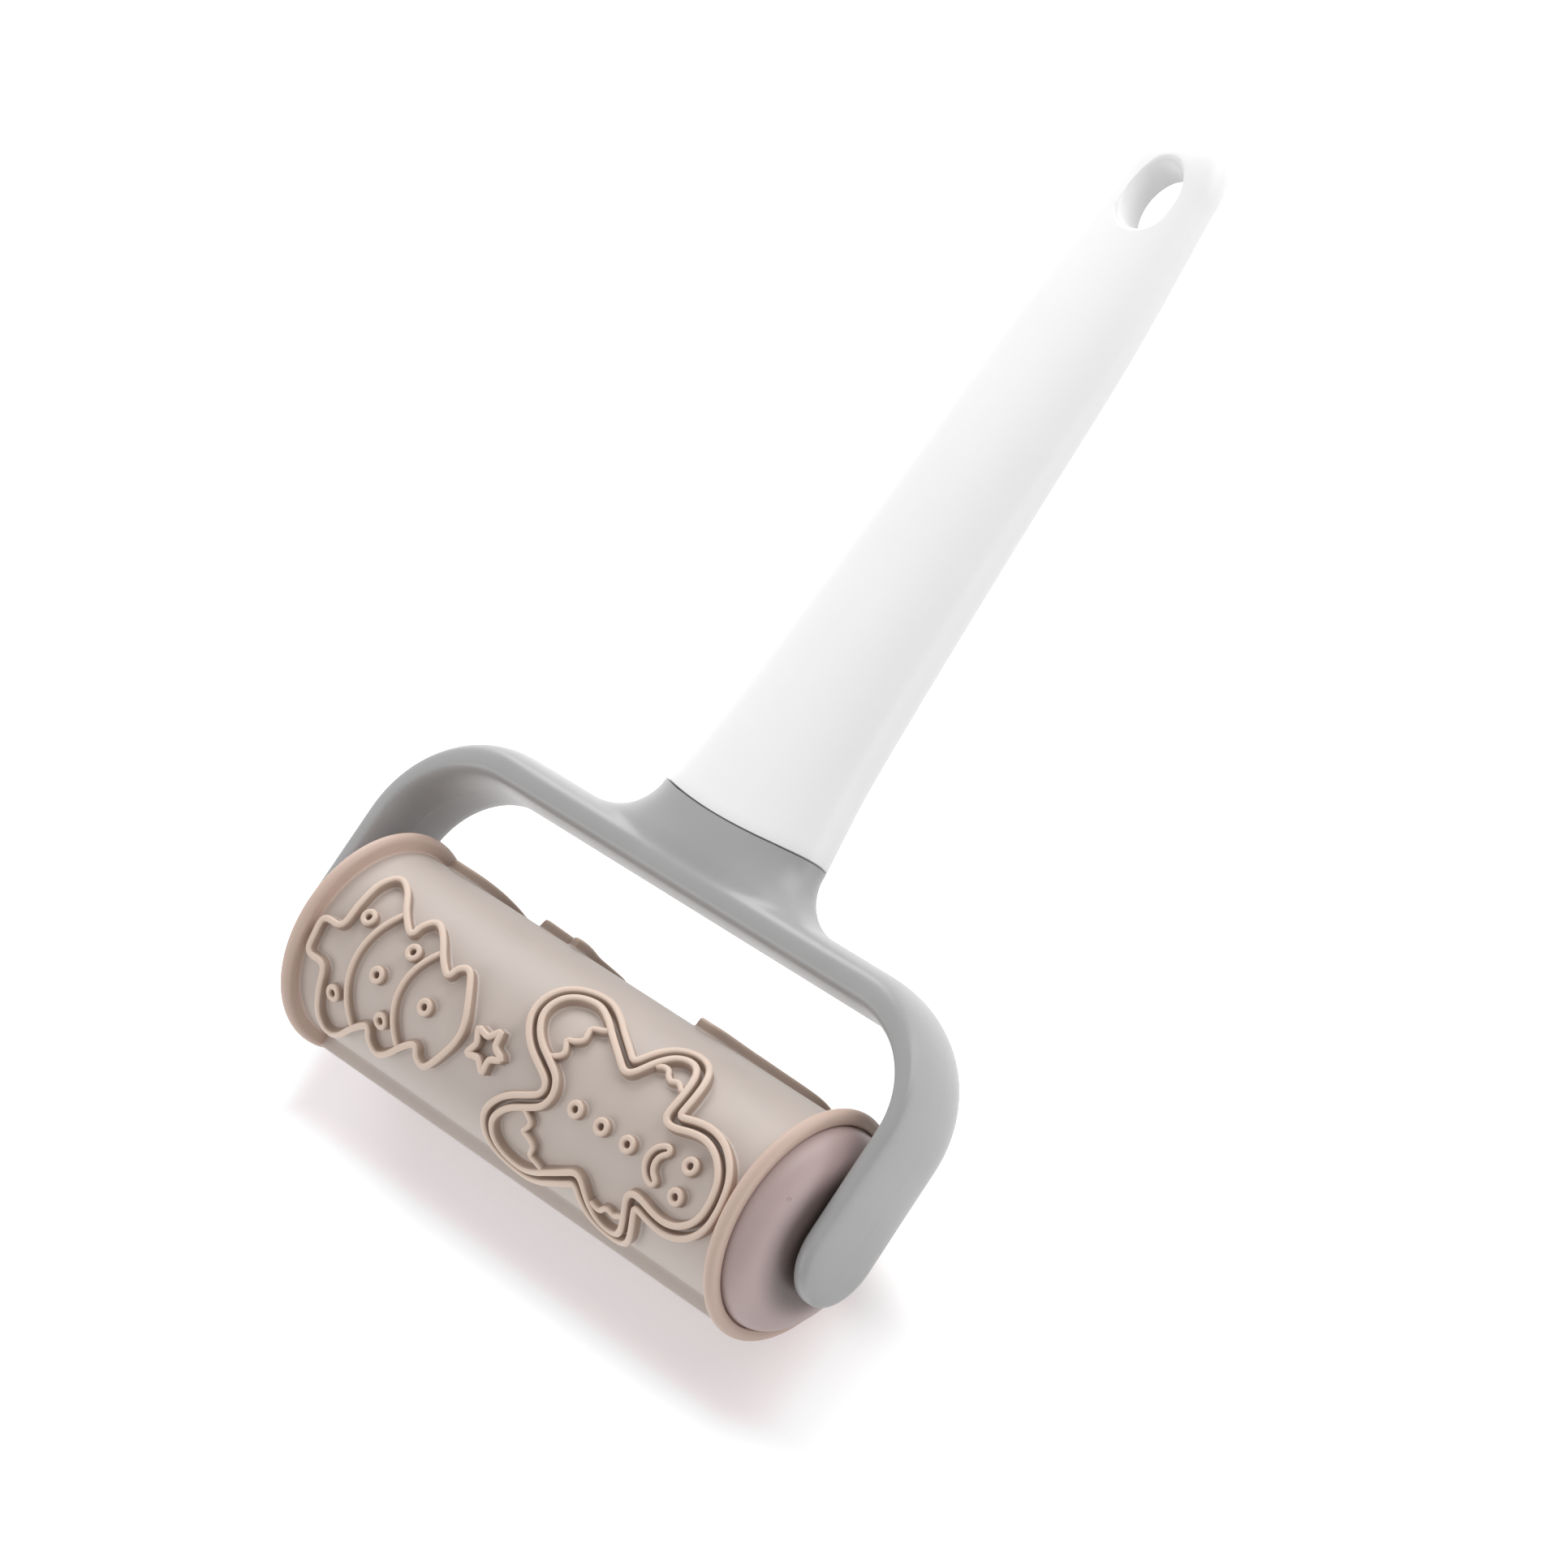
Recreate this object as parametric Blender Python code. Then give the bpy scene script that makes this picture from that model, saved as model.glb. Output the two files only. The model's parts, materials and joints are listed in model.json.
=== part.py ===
"""Roller cutter for biscuit dough: a ribbed roller in a forked yoke on a tapered grip.

Everything is in metres. The tool is modelled in its own frame, with the roller's axis
along X through the origin, the grip along +Y and the broad side of the yoke facing +Z.
An empty then lays it down as it lies on a table, on the roller's flanges and the tip of
the grip.
"""
from math import asin, atan2, ceil, cos, hypot, pi, radians, sin

import bmesh
import bpy

MM = 0.001

# Fits
CLEARANCE = 0.0003          # between pieces that touch or nearly touch
END_PLAY = 0.0003           # between a cap's crown and the boss on the arm

# Roller barrel
BARREL_RADIUS = 0.0175
BARREL_WALL = 0.0020
BARREL_HALF_LENGTH = 0.0501     # from the middle to the inner face of a flange
FLANGE_RADIUS = 0.0205
FLANGE_THICKNESS = 0.0023
FLANGE_ROUND = 0.0009
CAP_SEAT_DEPTH = 0.0011
CAP_SEAT_RADIUS = 0.0182

# Ribs on the barrel
RIB_HEIGHT = 0.0019
INNER_RIB_HEIGHT = 0.0015
CUT_RIB_HEIGHT = 0.0026     # of the straight rib from flange to flange, which cuts the strip off
RIB_FOOT_HALF_WIDTH = 0.00070
RIB_TOP_HALF_WIDTH = 0.00045
RIB_ROOT = 0.0004           # how far a rib reaches into the wall of the barrel
TWIN_RIB_SPACING = 0.0020   # between the two lines round the gingerbread man
RIB_STEP = 0.0030           # length of one straight piece of a rib
HIDDEN_RIB_STEP = 0.0040    # the same, on the two sides away from the picture
SHORTEST_RUN = 0.0012       # a shorter piece in a twin rib's corner is left out

# End caps
DOME_RISE = 0.0051          # crown of the cap above the end of the flange
CROWN_RADIUS = 0.0075       # flat middle of the crown
CAP_WALL = 0.0018
SPIGOT_LENGTH = 0.0060
HUB_RADIUS = 0.0055
HUB_LENGTH = 0.0135

# Axle rod
ROD_RADIUS = 0.0020
ROD_CHAMFER = 0.0004
SOCKET_DEPTH = 0.0035       # of the blind socket, from the face of its boss

# Yoke
ARM_HALF_THICKNESS = 0.00245
ARM_HALF_WIDTH = 0.0093
ARM_FLAT_HALF_WIDTH = 0.0025
OUTER_CROWN = 0.9           # how round the band's outer side is, from 0, square, to 1
INNER_CROWN = 0.45
BOSS_RADIUS = 0.0050
BOSS_HEIGHT = 0.00025
BAR_HALF_THICKNESS = 0.0038
FINGER_GAP = 0.0130         # from the flange to the cross bar
CORNER_RADIUS = 0.0185      # of the yoke's middle line
COLLAR_HEIGHT = 0.0089
COLLAR_FLARE = 0.0105       # how far the foot of the collar spreads along the bar

# Grip
GRIP_LENGTH = 0.1382
GRIP_WALL = 0.0024
MOUTH_HALF_WIDTH = 0.0175
MOUTH_HALF_DEPTH = 0.0093
SHOULDER_HALF_WIDTH = 0.0152
SHOULDER_HALF_DEPTH = 0.0090
MIDDLE_HALF_WIDTH = 0.0129
MIDDLE_HALF_DEPTH = 0.0077
WAIST_HALF_WIDTH = 0.0119
WAIST_HALF_DEPTH = 0.0062
NECK_HALF_WIDTH = 0.0096
NECK_HALF_DEPTH = 0.0045
TIP_ROUND = 0.0102          # length of the rounded end
TIP_HALF_WIDTH = 0.0045     # of the flat at its very end
TIP_HALF_DEPTH = 0.0018
SEAM_BOW = 0.0020           # how far the seam dips towards the roller at its middle
CAVITY_LENGTH = 0.1000
TANG_END_GAP = 0.0030       # between the tang's end and the bottom of the cavity
SLOT_HALF_LENGTH = 0.0067
SLOT_HALF_WIDTH = 0.00475
SLOT_FROM_TIP = 0.0124
SLOT_RIM = 0.0009           # widening of the slot's mouths
SLOT_THROAT = 0.0032        # half depth of the straight part of the slot

# Fineness of the round pieces
BARREL_SEGMENTS = 64
CAP_SEGMENTS = 36
ROD_SEGMENTS = 20
GRIP_SEGMENTS = 32

# Worked out from the sizes above
BORE_RADIUS = BARREL_RADIUS - BARREL_WALL
FLANGE_END = BARREL_HALF_LENGTH + FLANGE_THICKNESS
SEAT_X = FLANGE_END - CAP_SEAT_DEPTH
CROWN_X = FLANGE_END + DOME_RISE
BOSS_X = CROWN_X + END_PLAY
ARM_X = BOSS_X + BOSS_HEIGHT + ARM_HALF_THICKNESS
SOCKET_FLOOR_X = BOSS_X + SOCKET_DEPTH
BAR_Y = FLANGE_RADIUS + FINGER_GAP + BAR_HALF_THICKNESS
SEAM_Y = BAR_Y + BAR_HALF_THICKNESS + COLLAR_HEIGHT
GRIP_END_Y = SEAM_Y + GRIP_LENGTH
SLOT_Y = GRIP_END_Y - SLOT_FROM_TIP

# The pattern is drawn flat, in millimetres, and wrapped round the barrel. Its first
# number runs along the roller and its second round it, from the motif's middle line.
SHEET_HALF_LENGTH = 50.1
SHEET_RADIUS = 19.0
FRONT_ROW = radians(-13.5)
UPPER_ROW = radians(121.0)
LOWER_ROW = radians(204.0)
CUT_RIB_ROW = radians(-98.0)

# Gingerbread man, one side of his middle line: leg, arm, head
MAN_LEG = ((10.1, 0.0), (6.4, 3.5), (1.2, 6.9), (-0.9, 12.0), (2.6, 17.0), (7.6, 17.7), (13.8, 14.2),
           (20.3, 10.2))
MAN_ARM = ((20.3, 10.2), (22.2, 14.6), (26.7, 18.5), (31.1, 15.8), (32.2, 11.0), (32.3, 7.1))
MAN_HEAD = ((32.3, 7.1), (39.8, 8.4), (45.6, 5.9), (48.0, 0.0))
MAN_FOOT_ICING = ((6.0, 4.9), (8.2, 6.6), (7.4, 8.6), (9.6, 9.9), (9.4, 12.4), (12.2, 14.3))
MAN_HAND_ICING = ((23.4, 13.4), (25.4, 14.1), (27.5, 12.4), (28.9, 13.1), (31.4, 12.1))
MAN_BUTTONS = ((16.0, 0.0), (22.0, 0.0), (28.0, 0.0))
MAN_EYES = ((40.4, 2.8), (40.4, -2.8))
RING_RADIUS = 1.15
SMILE_CENTRE = (36.0, 0.0)
SMILE_OUTER_RADIUS = 3.6
SMILE_INNER_RADIUS = 2.6
SMILE_INNER_SHIFT = 0.9

# Fir tree, one side of its middle line, from the foot of the trunk to the top
TREE_SIDE = ((-48.2, 0.0), (-47.9, 3.2), (-43.9, 3.8), (-43.6, 8.4), (-43.6, 13.4), (-42.0, 16.4),
             (-38.8, 15.2), (-34.8, 11.4), (-31.0, 8.8), (-30.6, 11.0), (-28.8, 13.2), (-25.8, 11.6),
             (-22.2, 8.2), (-19.4, 6.4), (-18.9, 8.2), (-17.0, 9.4), (-14.4, 6.8), (-11.8, 2.8), (-11.0, 0.0))
TREE_STAR_CENTRE = (-5.2, 0.0)
TREE_STAR_RADIUS = 4.2
TREE_GARLANDS = ((-35.0, 11.4), (-23.6, 9.4))       # place of a garland's ends, and their reach
GARLAND_SAG = 3.2
TREE_BAUBLES = ((-40.4, 7.4), (-40.4, -7.4), (-32.4, 0.0), (-28.4, 6.6), (-28.4, -6.6), (-20.4, 0.0))

# Motifs on the two sides away from the picture
HEART_SIDE = ((-31.0, 0.0), (-38.0, 7.6), (-44.6, 11.0), (-48.2, 6.4), (-45.4, 0.0))
STAR_CENTRE = (-17.4, -2.4)
STAR_RADIUS = 9.6
BELL_SIDE = ((41.0, 0.0), (39.0, 5.4), (30.0, 7.0), (22.0, 8.4), (17.6, 12.0))
BELL_RIM_X = 15.4
MITTEN_CUFF = ((-46.0, -7.4), (-46.0, 7.4), (-39.4, 7.4), (-39.4, -7.4))
MITTEN_HAND = ((-39.4, 6.4), (-24.0, 8.4), (-14.4, 5.4), (-14.4, -3.6), (-22.0, -6.2), (-28.0, -5.6))
MITTEN_THUMB = ((-28.0, -5.6), (-22.4, -9.8), (-24.6, -12.6), (-31.0, -10.4), (-39.4, -5.6))
FLAKE_CENTRE = (26.0, 0.0)
FLAKE_RADIUS = 11.4
FLAKE_RING_RADIUS = 1.9
FLAKE_BARB_AT = 7.0
FLAKE_BARB_LENGTH = 3.6
FLAKE_BARB_LEAN = radians(55.0)


def clear_scene():
    """Remove whatever the open file holds."""
    for old in list(bpy.data.objects):
        bpy.data.objects.remove(old, do_unlink=True)


def plastic(name, colour, roughness, metallic=0.0):
    """Return a Principled material with the given colour and finish."""
    finish = bpy.data.materials.new(name)
    finish.use_nodes = True
    shader = finish.node_tree.nodes["Principled BSDF"]
    shader.inputs["Base Color"].default_value = (*colour, 1.0)
    shader.inputs["Roughness"].default_value = roughness
    shader.inputs["Metallic"].default_value = metallic
    finish.diffuse_color = (*colour, 1.0)
    return finish


def add_piece(name, mesh, parent, finish=None):
    """Put a mesh into the scene as one object of the tool."""
    piece = bpy.data.objects.new(name, mesh)
    bpy.context.scene.collection.objects.link(piece)
    piece.parent = parent
    if finish is not None:
        mesh.materials.append(finish)
    return piece


def add_guide(name, mesh, parent):
    """Put a mesh into the scene as a guide for a Boolean, left out of the model."""
    guide = add_piece(name, mesh, parent)
    guide.hide_render = True
    guide.display_type = "WIRE"
    return guide


def boolean(piece, guide, operation, overlapping=False):
    """Join a guide to a piece, or cut it from it."""
    modifier = piece.modifiers.new(guide.name, "BOOLEAN")
    modifier.operation = operation
    modifier.solver = "EXACT"
    modifier.object = guide
    modifier.use_self = overlapping


def finish_mesh(bm, name, sharp_angle=35.0):
    """Turn a bmesh into a mesh with its faces pointing out and its curves smooth."""
    bmesh.ops.recalc_face_normals(bm, faces=bm.faces)
    mesh = bpy.data.meshes.new(name)
    bm.to_mesh(mesh)
    bm.free()
    mesh.shade_smooth()
    mesh.set_sharp_from_angle(angle=radians(sharp_angle))
    return mesh


def add_loft(bm, rings, joined=False):
    """Skin a row of rings of points; the last meets the first, or both ends are capped."""
    loops = [[bm.verts.new(point) for point in ring] for ring in rings]
    pairs = list(zip(loops, loops[1:]))
    if joined:
        pairs.append((loops[-1], loops[0]))
    for one, two in pairs:
        count = len(one)
        for i in range(count):
            k = (i + 1) % count
            bm.faces.new((one[i], one[k], two[k], two[i]))
    if not joined:
        bm.faces.new(loops[0][::-1])
        bm.faces.new(loops[-1])


def loft(name, rings):
    """Return the capped skin of a row of rings as a mesh."""
    bm = bmesh.new()
    add_loft(bm, rings)
    return finish_mesh(bm, name)


def turned(name, profile, segments):
    """Spin a closed profile of (x, radius) points round the X axis."""
    bm = bmesh.new()
    corners = [bm.verts.new((x, 0.0, radius)) for x, radius in profile]
    edges = [bm.edges.new((corners[i - 1], corners[i])) for i in range(len(corners))]
    bmesh.ops.spin(bm, geom=corners + edges, cent=(0.0, 0.0, 0.0), axis=(1.0, 0.0, 0.0),
                   angle=2.0 * pi, steps=segments, use_merge=True)
    return finish_mesh(bm, name)


def disc_stack(name, stations, segments):
    """Return a round solid along X through (x, radius) stations, with flat ends."""
    rings = []
    for x, radius in stations:
        turns = [2.0 * pi * (i + 0.5) / segments for i in range(segments)]
        rings.append([(x, radius * sin(t), radius * cos(t)) for t in turns])
    return loft(name, rings)


def arc(centre, radii, start, end, pieces):
    """Return points on an elliptical arc in a plane, angles in degrees."""
    points = []
    for i in range(pieces + 1):
        t = radians(start + (end - start) * i / pieces)
        points.append((centre[0] + radii[0] * cos(t), centre[1] + radii[1] * sin(t)))
    return points


def mirror_x(profile):
    """Return a profile mirrored across x = 0, in reverse order."""
    return [(-x, y) for x, y in reversed(profile)]


# Roller

def barrel_profile():
    """Return the closed profile of the barrel: bore, cap seats and rounded flanges."""
    low = FLANGE_RADIUS - FLANGE_ROUND
    side = [(SEAT_X, BORE_RADIUS), (SEAT_X, CAP_SEAT_RADIUS), (FLANGE_END, CAP_SEAT_RADIUS)]
    side += arc((FLANGE_END - FLANGE_ROUND, low), (FLANGE_ROUND, FLANGE_ROUND), 0, 90, 2)
    side += arc((BARREL_HALF_LENGTH + FLANGE_ROUND, low), (FLANGE_ROUND, FLANGE_ROUND), 90, 180, 2)
    side += [(BARREL_HALF_LENGTH, BARREL_RADIUS)]
    return side + mirror_x(side)


def smooth_line(points, step):
    """Return points a step apart on a smooth curve through the given points."""
    padded = [_beyond(points[0], points[1])] + list(points) + [_beyond(points[-1], points[-2])]
    line = [points[0]]
    for a, b, c, d in zip(padded, padded[1:], padded[2:], padded[3:]):
        pieces = max(1, ceil(hypot(c[0] - b[0], c[1] - b[1]) / step - 0.2))
        for i in range(1, pieces + 1):
            t = i / pieces
            line.append(tuple(
                0.5 * (2.0 * q + (r - p) * t + (2.0 * p - 5.0 * q + 4.0 * r - s) * t * t
                       + (3.0 * q - p - 3.0 * r + s) * t ** 3)
                for p, q, r, s in zip(a, b, c, d)))
    return line


def _beyond(end, before):
    """Return the point that continues a line past its end."""
    return (2.0 * end[0] - before[0], 2.0 * end[1] - before[1])


def straight_line(points, step):
    """Return points at most a step apart on straight runs between the given points."""
    line = [points[0]]
    for a, b in zip(points, points[1:]):
        pieces = max(1, ceil(hypot(b[0] - a[0], b[1] - a[1]) / step))
        for i in range(1, pieces + 1):
            line.append((a[0] + (b[0] - a[0]) * i / pieces, a[1] + (b[1] - a[1]) * i / pieces))
    return line


def mirror_q(line):
    """Return a line mirrored across the motif's middle line, in reverse order."""
    return [(x, -q) for x, q in reversed(line)]


def ring_line(centre, radius, count=8):
    """Return the corners of a small ring."""
    return [(centre[0] + radius * cos(2.0 * pi * i / count), centre[1] + radius * sin(2.0 * pi * i / count))
            for i in range(count)]


def star_line(centre, radius):
    """Return the ten corners of a five-pointed star with one point along +x."""
    corners = []
    for i in range(10):
        reach = radius if i % 2 == 0 else 0.45 * radius
        corners.append((centre[0] + reach * cos(pi * i / 5.0), centre[1] + reach * sin(pi * i / 5.0)))
    return corners


def side_normals(line, closed):
    """Return, for each point, the sideways step that keeps a parallel line one unit off."""
    count = len(line)
    normals = []
    for i in range(count):
        before = line[i - 1] if closed or i > 0 else _beyond(line[0], line[1])
        after = line[(i + 1) % count] if closed or i < count - 1 else _beyond(line[-1], line[-2])
        into = (line[i][0] - before[0], line[i][1] - before[1])
        out = (after[0] - line[i][0], after[1] - line[i][1])
        a = hypot(*into)
        b = hypot(*out)
        n1 = (-into[1] / a, into[0] / a)
        n2 = (-out[1] / b, out[0] / b)
        mid = (n1[0] + n2[0], n1[1] + n2[1])
        spread = max(mid[0] * n1[0] + mid[1] * n1[1], 0.7)
        normals.append((mid[0] / spread, mid[1] / spread))
    return normals


def gap_to_line(point, line):
    """Return the distance from a point to the nearest run of a closed line."""
    nearest = []
    for a, b in zip(line, line[1:] + line[:1]):
        run = (b[0] - a[0], b[1] - a[1])
        reach = (point[0] - a[0], point[1] - a[1])
        share = (reach[0] * run[0] + reach[1] * run[1]) / (run[0] ** 2 + run[1] ** 2)
        share = min(max(share, 0.0), 1.0)
        nearest.append(hypot(reach[0] - share * run[0], reach[1] - share * run[1]))
    return min(nearest)


def shifted(line, distance):
    """Return a closed line moved sideways, without the folds this makes in tight corners."""
    steps = side_normals(line, True)
    kept = []
    for (x, q), (nx, nq) in zip(line, steps):
        point = (x + nx * distance, q + nq * distance)
        clear_of_line = gap_to_line(point, line) > 0.95 * abs(distance)
        run = hypot(point[0] - kept[-1][0], point[1] - kept[-1][1]) if kept else SHEET_HALF_LENGTH
        if clear_of_line and run > SHORTEST_RUN / MM:
            kept.append(point)
    return kept


def wrapped(x, q, row, radius):
    """Return a point of the flat drawing on the barrel, at a radius."""
    turn = row + q / SHEET_RADIUS
    along = x * BARREL_HALF_LENGTH / SHEET_HALF_LENGTH
    return (along, radius * sin(turn), radius * cos(turn))


def add_rib(bm, line, row, height=RIB_HEIGHT, closed=True):
    """Raise one rib along a line of the drawing."""
    foot_radius = BARREL_RADIUS - RIB_ROOT
    top_radius = BARREL_RADIUS + height
    foot = RIB_FOOT_HALF_WIDTH / MM
    top = RIB_TOP_HALF_WIDTH / MM
    rings = []
    for (x, q), (nx, nq) in zip(line, side_normals(line, closed)):
        sides = ((foot, foot_radius), (top, top_radius), (-top, top_radius), (-foot, foot_radius))
        rings.append([wrapped(x + nx * off, q + nq * off, row, radius) for off, radius in sides])
    add_loft(bm, rings, joined=closed)


def man_outline(step):
    """Return the middle of the twin outline of the gingerbread man."""
    leg = smooth_line(MAN_LEG[::-1] + tuple((x, -q) for x, q in MAN_LEG[1:]), step)
    arm = smooth_line(MAN_ARM, step)
    head = smooth_line(MAN_HEAD + tuple((x, -q) for x, q in reversed(MAN_HEAD[:-1])), step)
    return leg[::-1][:-1] + arm[:-1] + head[:-1] + mirror_q(arm)[:-1]


def smile_line():
    """Return the crescent of the smile."""
    outer = arc(SMILE_CENTRE, (SMILE_OUTER_RADIUS, SMILE_OUTER_RADIUS), 105, 255, 6)
    centre = (SMILE_CENTRE[0] + SMILE_INNER_SHIFT, SMILE_CENTRE[1])
    inner = arc(centre, (SMILE_INNER_RADIUS, SMILE_INNER_RADIUS), 245, 115, 4)
    return outer + inner


def add_gingerbread_man(bm, step):
    """Raise the gingerbread man on the front of the roller."""
    middle = man_outline(step)
    half = 0.5 * TWIN_RIB_SPACING / MM
    add_rib(bm, shifted(middle, half), FRONT_ROW)
    add_rib(bm, shifted(middle, -half), FRONT_ROW)
    for icing in (MAN_FOOT_ICING, MAN_HAND_ICING):
        line = straight_line(icing, step)
        add_rib(bm, line, FRONT_ROW, INNER_RIB_HEIGHT, closed=False)
        add_rib(bm, mirror_q(line), FRONT_ROW, INNER_RIB_HEIGHT, closed=False)
    for centre in MAN_BUTTONS + MAN_EYES:
        add_rib(bm, ring_line(centre, RING_RADIUS), FRONT_ROW, INNER_RIB_HEIGHT)
    add_rib(bm, smile_line(), FRONT_ROW, INNER_RIB_HEIGHT)


def add_fir_tree(bm, step):
    """Raise the fir tree beside the gingerbread man."""
    side = smooth_line(TREE_SIDE, step)
    add_rib(bm, side + mirror_q(side[1:-1]), FRONT_ROW)
    add_rib(bm, star_line(TREE_STAR_CENTRE, TREE_STAR_RADIUS), FRONT_ROW)
    for x, reach in TREE_GARLANDS:
        shares = [i / 4.0 - 1.0 for i in range(9)]
        garland = [(x - GARLAND_SAG * (1.0 - share ** 2), reach * share) for share in shares]
        add_rib(bm, garland, FRONT_ROW, INNER_RIB_HEIGHT, closed=False)
    for centre in TREE_BAUBLES:
        add_rib(bm, ring_line(centre, RING_RADIUS), FRONT_ROW, INNER_RIB_HEIGHT)


def add_upper_row(bm, step):
    """Raise the heart, star and bell on the side towards the cross bar."""
    heart = smooth_line(HEART_SIDE, step)
    add_rib(bm, heart + mirror_q(heart[1:-1]), UPPER_ROW)
    add_rib(bm, straight_line(star_line(STAR_CENTRE, STAR_RADIUS), 2.0 * step), UPPER_ROW)
    rim = straight_line(((BELL_RIM_X, BELL_SIDE[-1][1]), (BELL_RIM_X, 0.0)), step)
    side = smooth_line(BELL_SIDE, step) + rim
    add_rib(bm, side + mirror_q(side[1:-1]), UPPER_ROW)


def add_lower_row(bm, step):
    """Raise the mitten and the snowflake on the side away from the cross bar."""
    add_rib(bm, straight_line(MITTEN_CUFF + MITTEN_CUFF[:1], 2.0 * step)[:-1], LOWER_ROW)
    hand = smooth_line(MITTEN_HAND, step) + smooth_line(MITTEN_THUMB, step)[1:]
    add_rib(bm, hand, LOWER_ROW, closed=False)
    add_rib(bm, ring_line(FLAKE_CENTRE, FLAKE_RING_RADIUS), LOWER_ROW, INNER_RIB_HEIGHT)
    for spoke in range(6):
        turn = pi * spoke / 3.0 + pi / 6.0
        reach = (cos(turn), sin(turn))
        ends = [(FLAKE_CENTRE[0] + reach[0] * r, FLAKE_CENTRE[1] + reach[1] * r)
                for r in (FLAKE_RING_RADIUS, FLAKE_RADIUS)]
        add_rib(bm, straight_line(ends, 2.0 * step), LOWER_ROW, closed=False)
        x, q = (FLAKE_CENTRE[axis] + reach[axis] * FLAKE_BARB_AT for axis in (0, 1))
        barbs = [(x + FLAKE_BARB_LENGTH * cos(turn + lean), q + FLAKE_BARB_LENGTH * sin(turn + lean))
                 for lean in (FLAKE_BARB_LEAN, -FLAKE_BARB_LEAN)]
        add_rib(bm, [barbs[0], (x, q), barbs[1]], LOWER_ROW, closed=False)


def add_cut_rib(bm, step):
    """Raise the straight rib that cuts the printed strip off, rooted in both flanges."""
    reach = SHEET_HALF_LENGTH + RIB_ROOT / MM
    line = straight_line(((-reach, 0.0), (reach, 0.0)), 4.0 * step)
    add_rib(bm, line, CUT_RIB_ROW, CUT_RIB_HEIGHT, closed=False)


def make_roller_barrel(parent, finish):
    """Make the barrel with its flanges and every rib of the pattern, as one solid."""
    tube = turned("roller_barrel", barrel_profile(), BARREL_SEGMENTS)
    barrel = add_piece("roller_barrel", tube, parent, finish)
    for name, raise_ribs, step in (("gingerbread_man", add_gingerbread_man, RIB_STEP),
                                   ("fir_tree", add_fir_tree, RIB_STEP),
                                   ("upper_row", add_upper_row, HIDDEN_RIB_STEP),
                                   ("lower_row", add_lower_row, HIDDEN_RIB_STEP),
                                   ("cut_rib", add_cut_rib, HIDDEN_RIB_STEP)):
        bm = bmesh.new()
        raise_ribs(bm, step / MM)
        boolean(barrel, add_guide(name, finish_mesh(bm, name), parent), "UNION", overlapping=True)


def cap_profile():
    """Return the closed profile of an end cap: dome, spigot and hub."""
    rim = CAP_SEAT_RADIUS - CLEARANCE
    shoulder = SEAT_X + CLEARANCE
    spigot = BORE_RADIUS - CLEARANCE
    bore = ROD_RADIUS + CLEARANCE
    outer = arc((FLANGE_END, CROWN_RADIUS), (DOME_RISE, rim - CROWN_RADIUS), 90, 0, 6)
    inside = arc((FLANGE_END - CAP_WALL, HUB_RADIUS + CAP_WALL),
                 (DOME_RISE, spigot - 2.0 * CAP_WALL - HUB_RADIUS), 0, 90, 4)
    line = [(shoulder - SPIGOT_LENGTH, spigot), (shoulder, spigot), (shoulder, rim)]
    line += outer
    line += [(CROWN_X, bore), (CROWN_X - HUB_LENGTH, bore), (CROWN_X - HUB_LENGTH, HUB_RADIUS)]
    line += [(CROWN_X - CAP_WALL, HUB_RADIUS)]
    line += inside
    line += [(shoulder - SPIGOT_LENGTH, spigot - CAP_WALL)]
    return line


def make_end_caps(parent, finishes):
    """Make the two caps, which share one shape, the left one turned round."""
    shape = turned("end_cap", cap_profile(), CAP_SEGMENTS)
    right = add_piece("end_cap_right", shape, parent, finishes[0])
    left = add_piece("end_cap_left", shape, parent)
    left.rotation_euler.z = pi
    left.material_slots[0].link = "OBJECT"
    left.material_slots[0].material = finishes[1]
    return right, left


def make_axle_rod(parent, finish):
    """Make the rod, which ends just short of the floors of its two sockets."""
    end = SOCKET_FLOOR_X - CLEARANCE
    thin = ROD_RADIUS - ROD_CHAMFER
    side = [(end - ROD_CHAMFER, ROD_RADIUS), (end, thin)]
    stations = mirror_x(side) + side
    add_piece("axle_rod", disc_stack("axle_rod", stations, ROD_SEGMENTS), parent, finish)


# Yoke

def band_section(half_thickness, half_width, flat):
    """Return a band's section as (outward, z) points: crowned outside, flatter inside."""
    quarters = []
    for side, crown in ((1.0, OUTER_CROWN), (-1.0, INNER_CROWN)):
        turns = [radians(t) for t in (0.0, 27.0, 52.0, 75.0)]
        quarters.append([(side * half_thickness * cos(t) ** crown, flat + (half_width - flat) * sin(t))
                         for t in turns])
    upper = quarters[0] + [(0.0, half_width)] + quarters[1][::-1]
    return upper + [(n, -z) for n, z in reversed(upper)]


def arm_end_stations():
    """Return the stations of an arm's round end, from its lowest to the axle's height."""
    stations = []
    for t in (80.0, 64.0, 46.0, 28.0, 12.0, 0.0):
        width = ARM_HALF_WIDTH * cos(radians(t))
        thickness = ARM_HALF_THICKNESS * cos(radians(t)) ** 0.4
        y = -ARM_HALF_WIDTH * sin(radians(t))
        stations.append((ARM_X, y, 1.0, 0.0, thickness, width, min(ARM_FLAT_HALF_WIDTH, 0.4 * width)))
    return stations


def corner_stations():
    """Return the stations round the yoke's corner, where the band thickens to the bar."""
    stations = []
    pieces = 7
    for i in range(pieces + 1):
        t = 0.5 * pi * i / pieces
        share = i / pieces
        thickness = ARM_HALF_THICKNESS + (BAR_HALF_THICKNESS - ARM_HALF_THICKNESS) * share
        flat = ARM_FLAT_HALF_WIDTH
        x = ARM_X - CORNER_RADIUS * (1.0 - cos(t))
        y = BAR_Y - CORNER_RADIUS * (1.0 - sin(t))
        stations.append((x, y, cos(t), sin(t), thickness, ARM_HALF_WIDTH, flat))
    return stations


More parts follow.
